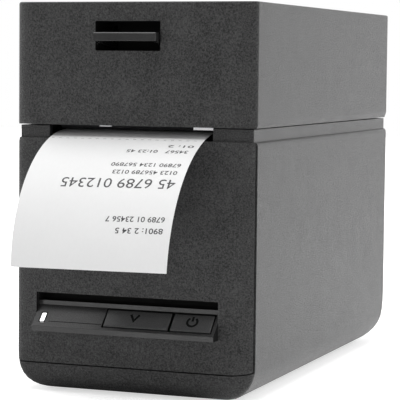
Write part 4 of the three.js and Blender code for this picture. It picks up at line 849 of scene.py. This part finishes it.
def make_lines(name, lines, width, body):
    build = bmesh.new()
    for points in lines:
        stroke(build, points, width)
    bmesh.ops.recalc_face_normals(build, faces=build.faces)
    new_piece(name, finished(build, name), icon_ink_and_painted_shade, body)


def power_lines():
    """A ring that is open at the top, and a stem in its gap."""
    x, up = POWER_CENTRE
    ring = []
    for i in range(POWER_STEPS + 1):
        angle = math.radians(POWER_START + POWER_SWEEP * i / POWER_STEPS)
        ring.append((x + POWER_RADIUS * math.cos(angle), up + POWER_RADIUS * math.sin(angle)))
    return [ring, [(x, up + end) for end in POWER_STEM]]


def lens_gap_shade_lines():
    """A black line round the lens, painted shade for its gap, closed in the middle of its lower
    side.
    """
    places = [v.co for v in bpy.data.objects["lens"].data.vertices]
    wide = [co.x / MM + MIDDLE for co in places]
    tall = [
        (co.y / MM - FRONT) * math.cos(SLOPE) + (co.z / MM - SLOPE_HEIGHT) * math.sin(SLOPE)
        for co in places
    ]
    left, right = min(wide) - LENS_GAP_SHADE_LINE / 2, max(wide) + LENS_GAP_SHADE_LINE / 2
    low, high = min(tall) - LENS_GAP_SHADE_LINE / 2, max(tall) + LENS_GAP_SHADE_LINE / 2
    corners = [(left, low), (right, low), (right, high), (left, high)]
    return [[((left + right) / 2, low)] + corners[1:] + corners[:2]]


make_lines("feed_icon", [FEED_POINTS], ICON_LINE, "feed_button")
make_lines("power_icon", power_lines(), ICON_LINE, "power_button")
# Painted shade: a black line for the shadow in the gap round the lens.
make_lines("lens_gap_shade_line", lens_gap_shade_lines(), LENS_GAP_SHADE_LINE, "printer_body")

# Studio, in metres: a white floor and surroundings. In reflections the surroundings are white
# behind the printer and dim in front of it. The floor is white there on the printer's right, and
# ahead of it, where it fades with distance, and dark under it, behind it and on its left.
WHITE = (1.0, 1.0, 1.0, 1.0)
FLOOR_REACH = 3.0
FLOOR_TONE = 0.85
FLOOR_ROUGHNESS = 0.9
FLOOR_GLOW = 0.6
GLOW_START, GLOW_END = 0.4, 1.0
AHEAD_START, AHEAD_END = -0.095, -0.14
FADE_START, FADE_END = -0.45, -1.1
FADE_LEVEL = 0.1
BESIDE_START, BESIDE_END = 0.03, 0.06
FRONT_TILT, BACK_TILT = -0.9, 0.3
MIRRORED_FRONT = 0.08
MIRRORED_BACK = 1.0
AMBIENT = 0.33


def blend(tree, kind, first, second):
    return add_maths(tree, kind, first, second, clamp=True)


def add_rays(tree):
    """The rays of the camera and of clear pieces as one level, and those of reflections."""
    path = tree.nodes.new("ShaderNodeLightPath")
    clear = blend(
        tree, "MAXIMUM", path.outputs["Is Camera Ray"], path.outputs["Is Transmission Ray"]
    )
    return clear, path.outputs["Is Glossy Ray"]


def add_place(tree, kind):
    """A texture coordinate, and the same split into X, Y and Z."""
    place_node = tree.nodes.new("ShaderNodeTexCoord")
    apart = tree.nodes.new("ShaderNodeSeparateXYZ")
    tree.links.new(place_node.outputs[kind], apart.inputs["Vector"])
    return place_node.outputs[kind], apart.outputs


def make_floor():
    mesh = bpy.data.meshes.new("floor")
    mesh.from_pydata(
        [(x * FLOOR_REACH, y * FLOOR_REACH, 0) for x, y in ((-1, -1), (1, -1), (1, 1), (-1, 1))],
        [],
        [(0, 1, 2, 3)],
    )
    material = bpy.data.materials.new("floor")
    material.use_nodes = True
    tree = material.node_tree
    shader = tree.nodes["Principled BSDF"]
    shader.inputs["Base Color"].default_value = (FLOOR_TONE,) * 3 + (1.0,)
    shader.inputs["Roughness"].default_value = FLOOR_ROUGHNESS
    shader.inputs["Specular IOR Level"].default_value = 0.0
    shader.inputs["Emission Color"].default_value = WHITE
    clear, glossy = add_rays(tree)
    spot, parts = add_place(tree, "Object")
    distance = tree.nodes.new("ShaderNodeVectorMath")
    distance.operation = "LENGTH"
    tree.links.new(spot, distance.inputs[0])
    level = add_ramp(tree, distance.outputs["Value"], GLOW_START, GLOW_END, FLOOR_GLOW)
    shown = blend(tree, "MULTIPLY", clear, level)
    ahead = add_ramp(tree, parts["Y"], AHEAD_START, AHEAD_END)
    fading = add_ramp(tree, parts["Y"], FADE_START, FADE_END, 1.0, FADE_LEVEL)
    beside = add_ramp(tree, parts["X"], BESIDE_START, BESIDE_END)
    away = blend(tree, "MAXIMUM", blend(tree, "MULTIPLY", ahead, fading), beside)
    mirrored = blend(tree, "MULTIPLY", glossy, away)
    tree.links.new(
        blend(tree, "MAXIMUM", shown, mirrored), shader.inputs["Emission Strength"]
    )
    mesh.materials.append(material)
    floor = bpy.data.objects.new("floor", mesh)
    bpy.context.scene.collection.objects.link(floor)


def make_world():
    world = bpy.data.worlds.new("surroundings")
    world.use_nodes = True
    tree = world.node_tree
    plain = tree.nodes["Background"]
    white = tree.nodes.new("ShaderNodeBackground")
    for background, strength in ((plain, AMBIENT), (white, 1.0)):
        background.inputs["Color"].default_value = WHITE
        background.inputs["Strength"].default_value = strength
    clear, glossy = add_rays(tree)
    parts = add_place(tree, "Generated")[1]
    behind = add_ramp(
        tree, parts["Y"], FRONT_TILT, BACK_TILT, MIRRORED_FRONT, MIRRORED_BACK
    )
    share = blend(tree, "MAXIMUM", clear, blend(tree, "MULTIPLY", glossy, behind))
    mix = tree.nodes.new("ShaderNodeMixShader")
    tree.links.new(share, mix.inputs["Fac"])
    tree.links.new(plain.outputs[0], mix.inputs[1])
    tree.links.new(white.outputs[0], mix.inputs[2])
    tree.links.new(mix.outputs[0], tree.nodes["World Output"].inputs["Surface"])
    bpy.context.scene.world = world


def make_light(name, where, target, size, power):
    data = bpy.data.lights.new(name, "AREA")
    data.shape = "RECTANGLE"
    data.size, data.size_y = size
    data.energy = power
    lamp = bpy.data.objects.new(name, data)
    lamp.location = where
    lamp.rotation_euler = (Vector(target) - Vector(where)).to_track_quat("-Z", "Y").to_euler()
    bpy.context.scene.collection.objects.link(lamp)


# Each lamp: its name, its place, what it points at, its size and its power in watts
LAMPS = (
    ("top", (0.0, -0.3, 1.6), (0.0, 0.0, 0.1), (1.6, 1.2), 18.0),
    ("front", (-0.2, -1.5, 0.7), (0.0, 0.0, 0.1), (1.2, 0.8), 2.4),
    ("side", (1.4, 0.4, 0.9), (0.0, 0.0, 0.05), (1.4, 1.2), 10.0),
    ("left", (-1.4, 0.2, 0.7), (0.0, 0.0, 0.1), (1.2, 1.0), 10.0),
    ("rear", (0.9, 2.0, 0.4), (0.0, 0.0, 0.1), (2.4, 1.2), 5.0),
)

make_floor()
make_world()
for lamp in LAMPS:
    make_light(*lamp)
bpy.context.scene.view_settings.view_transform = "Standard"
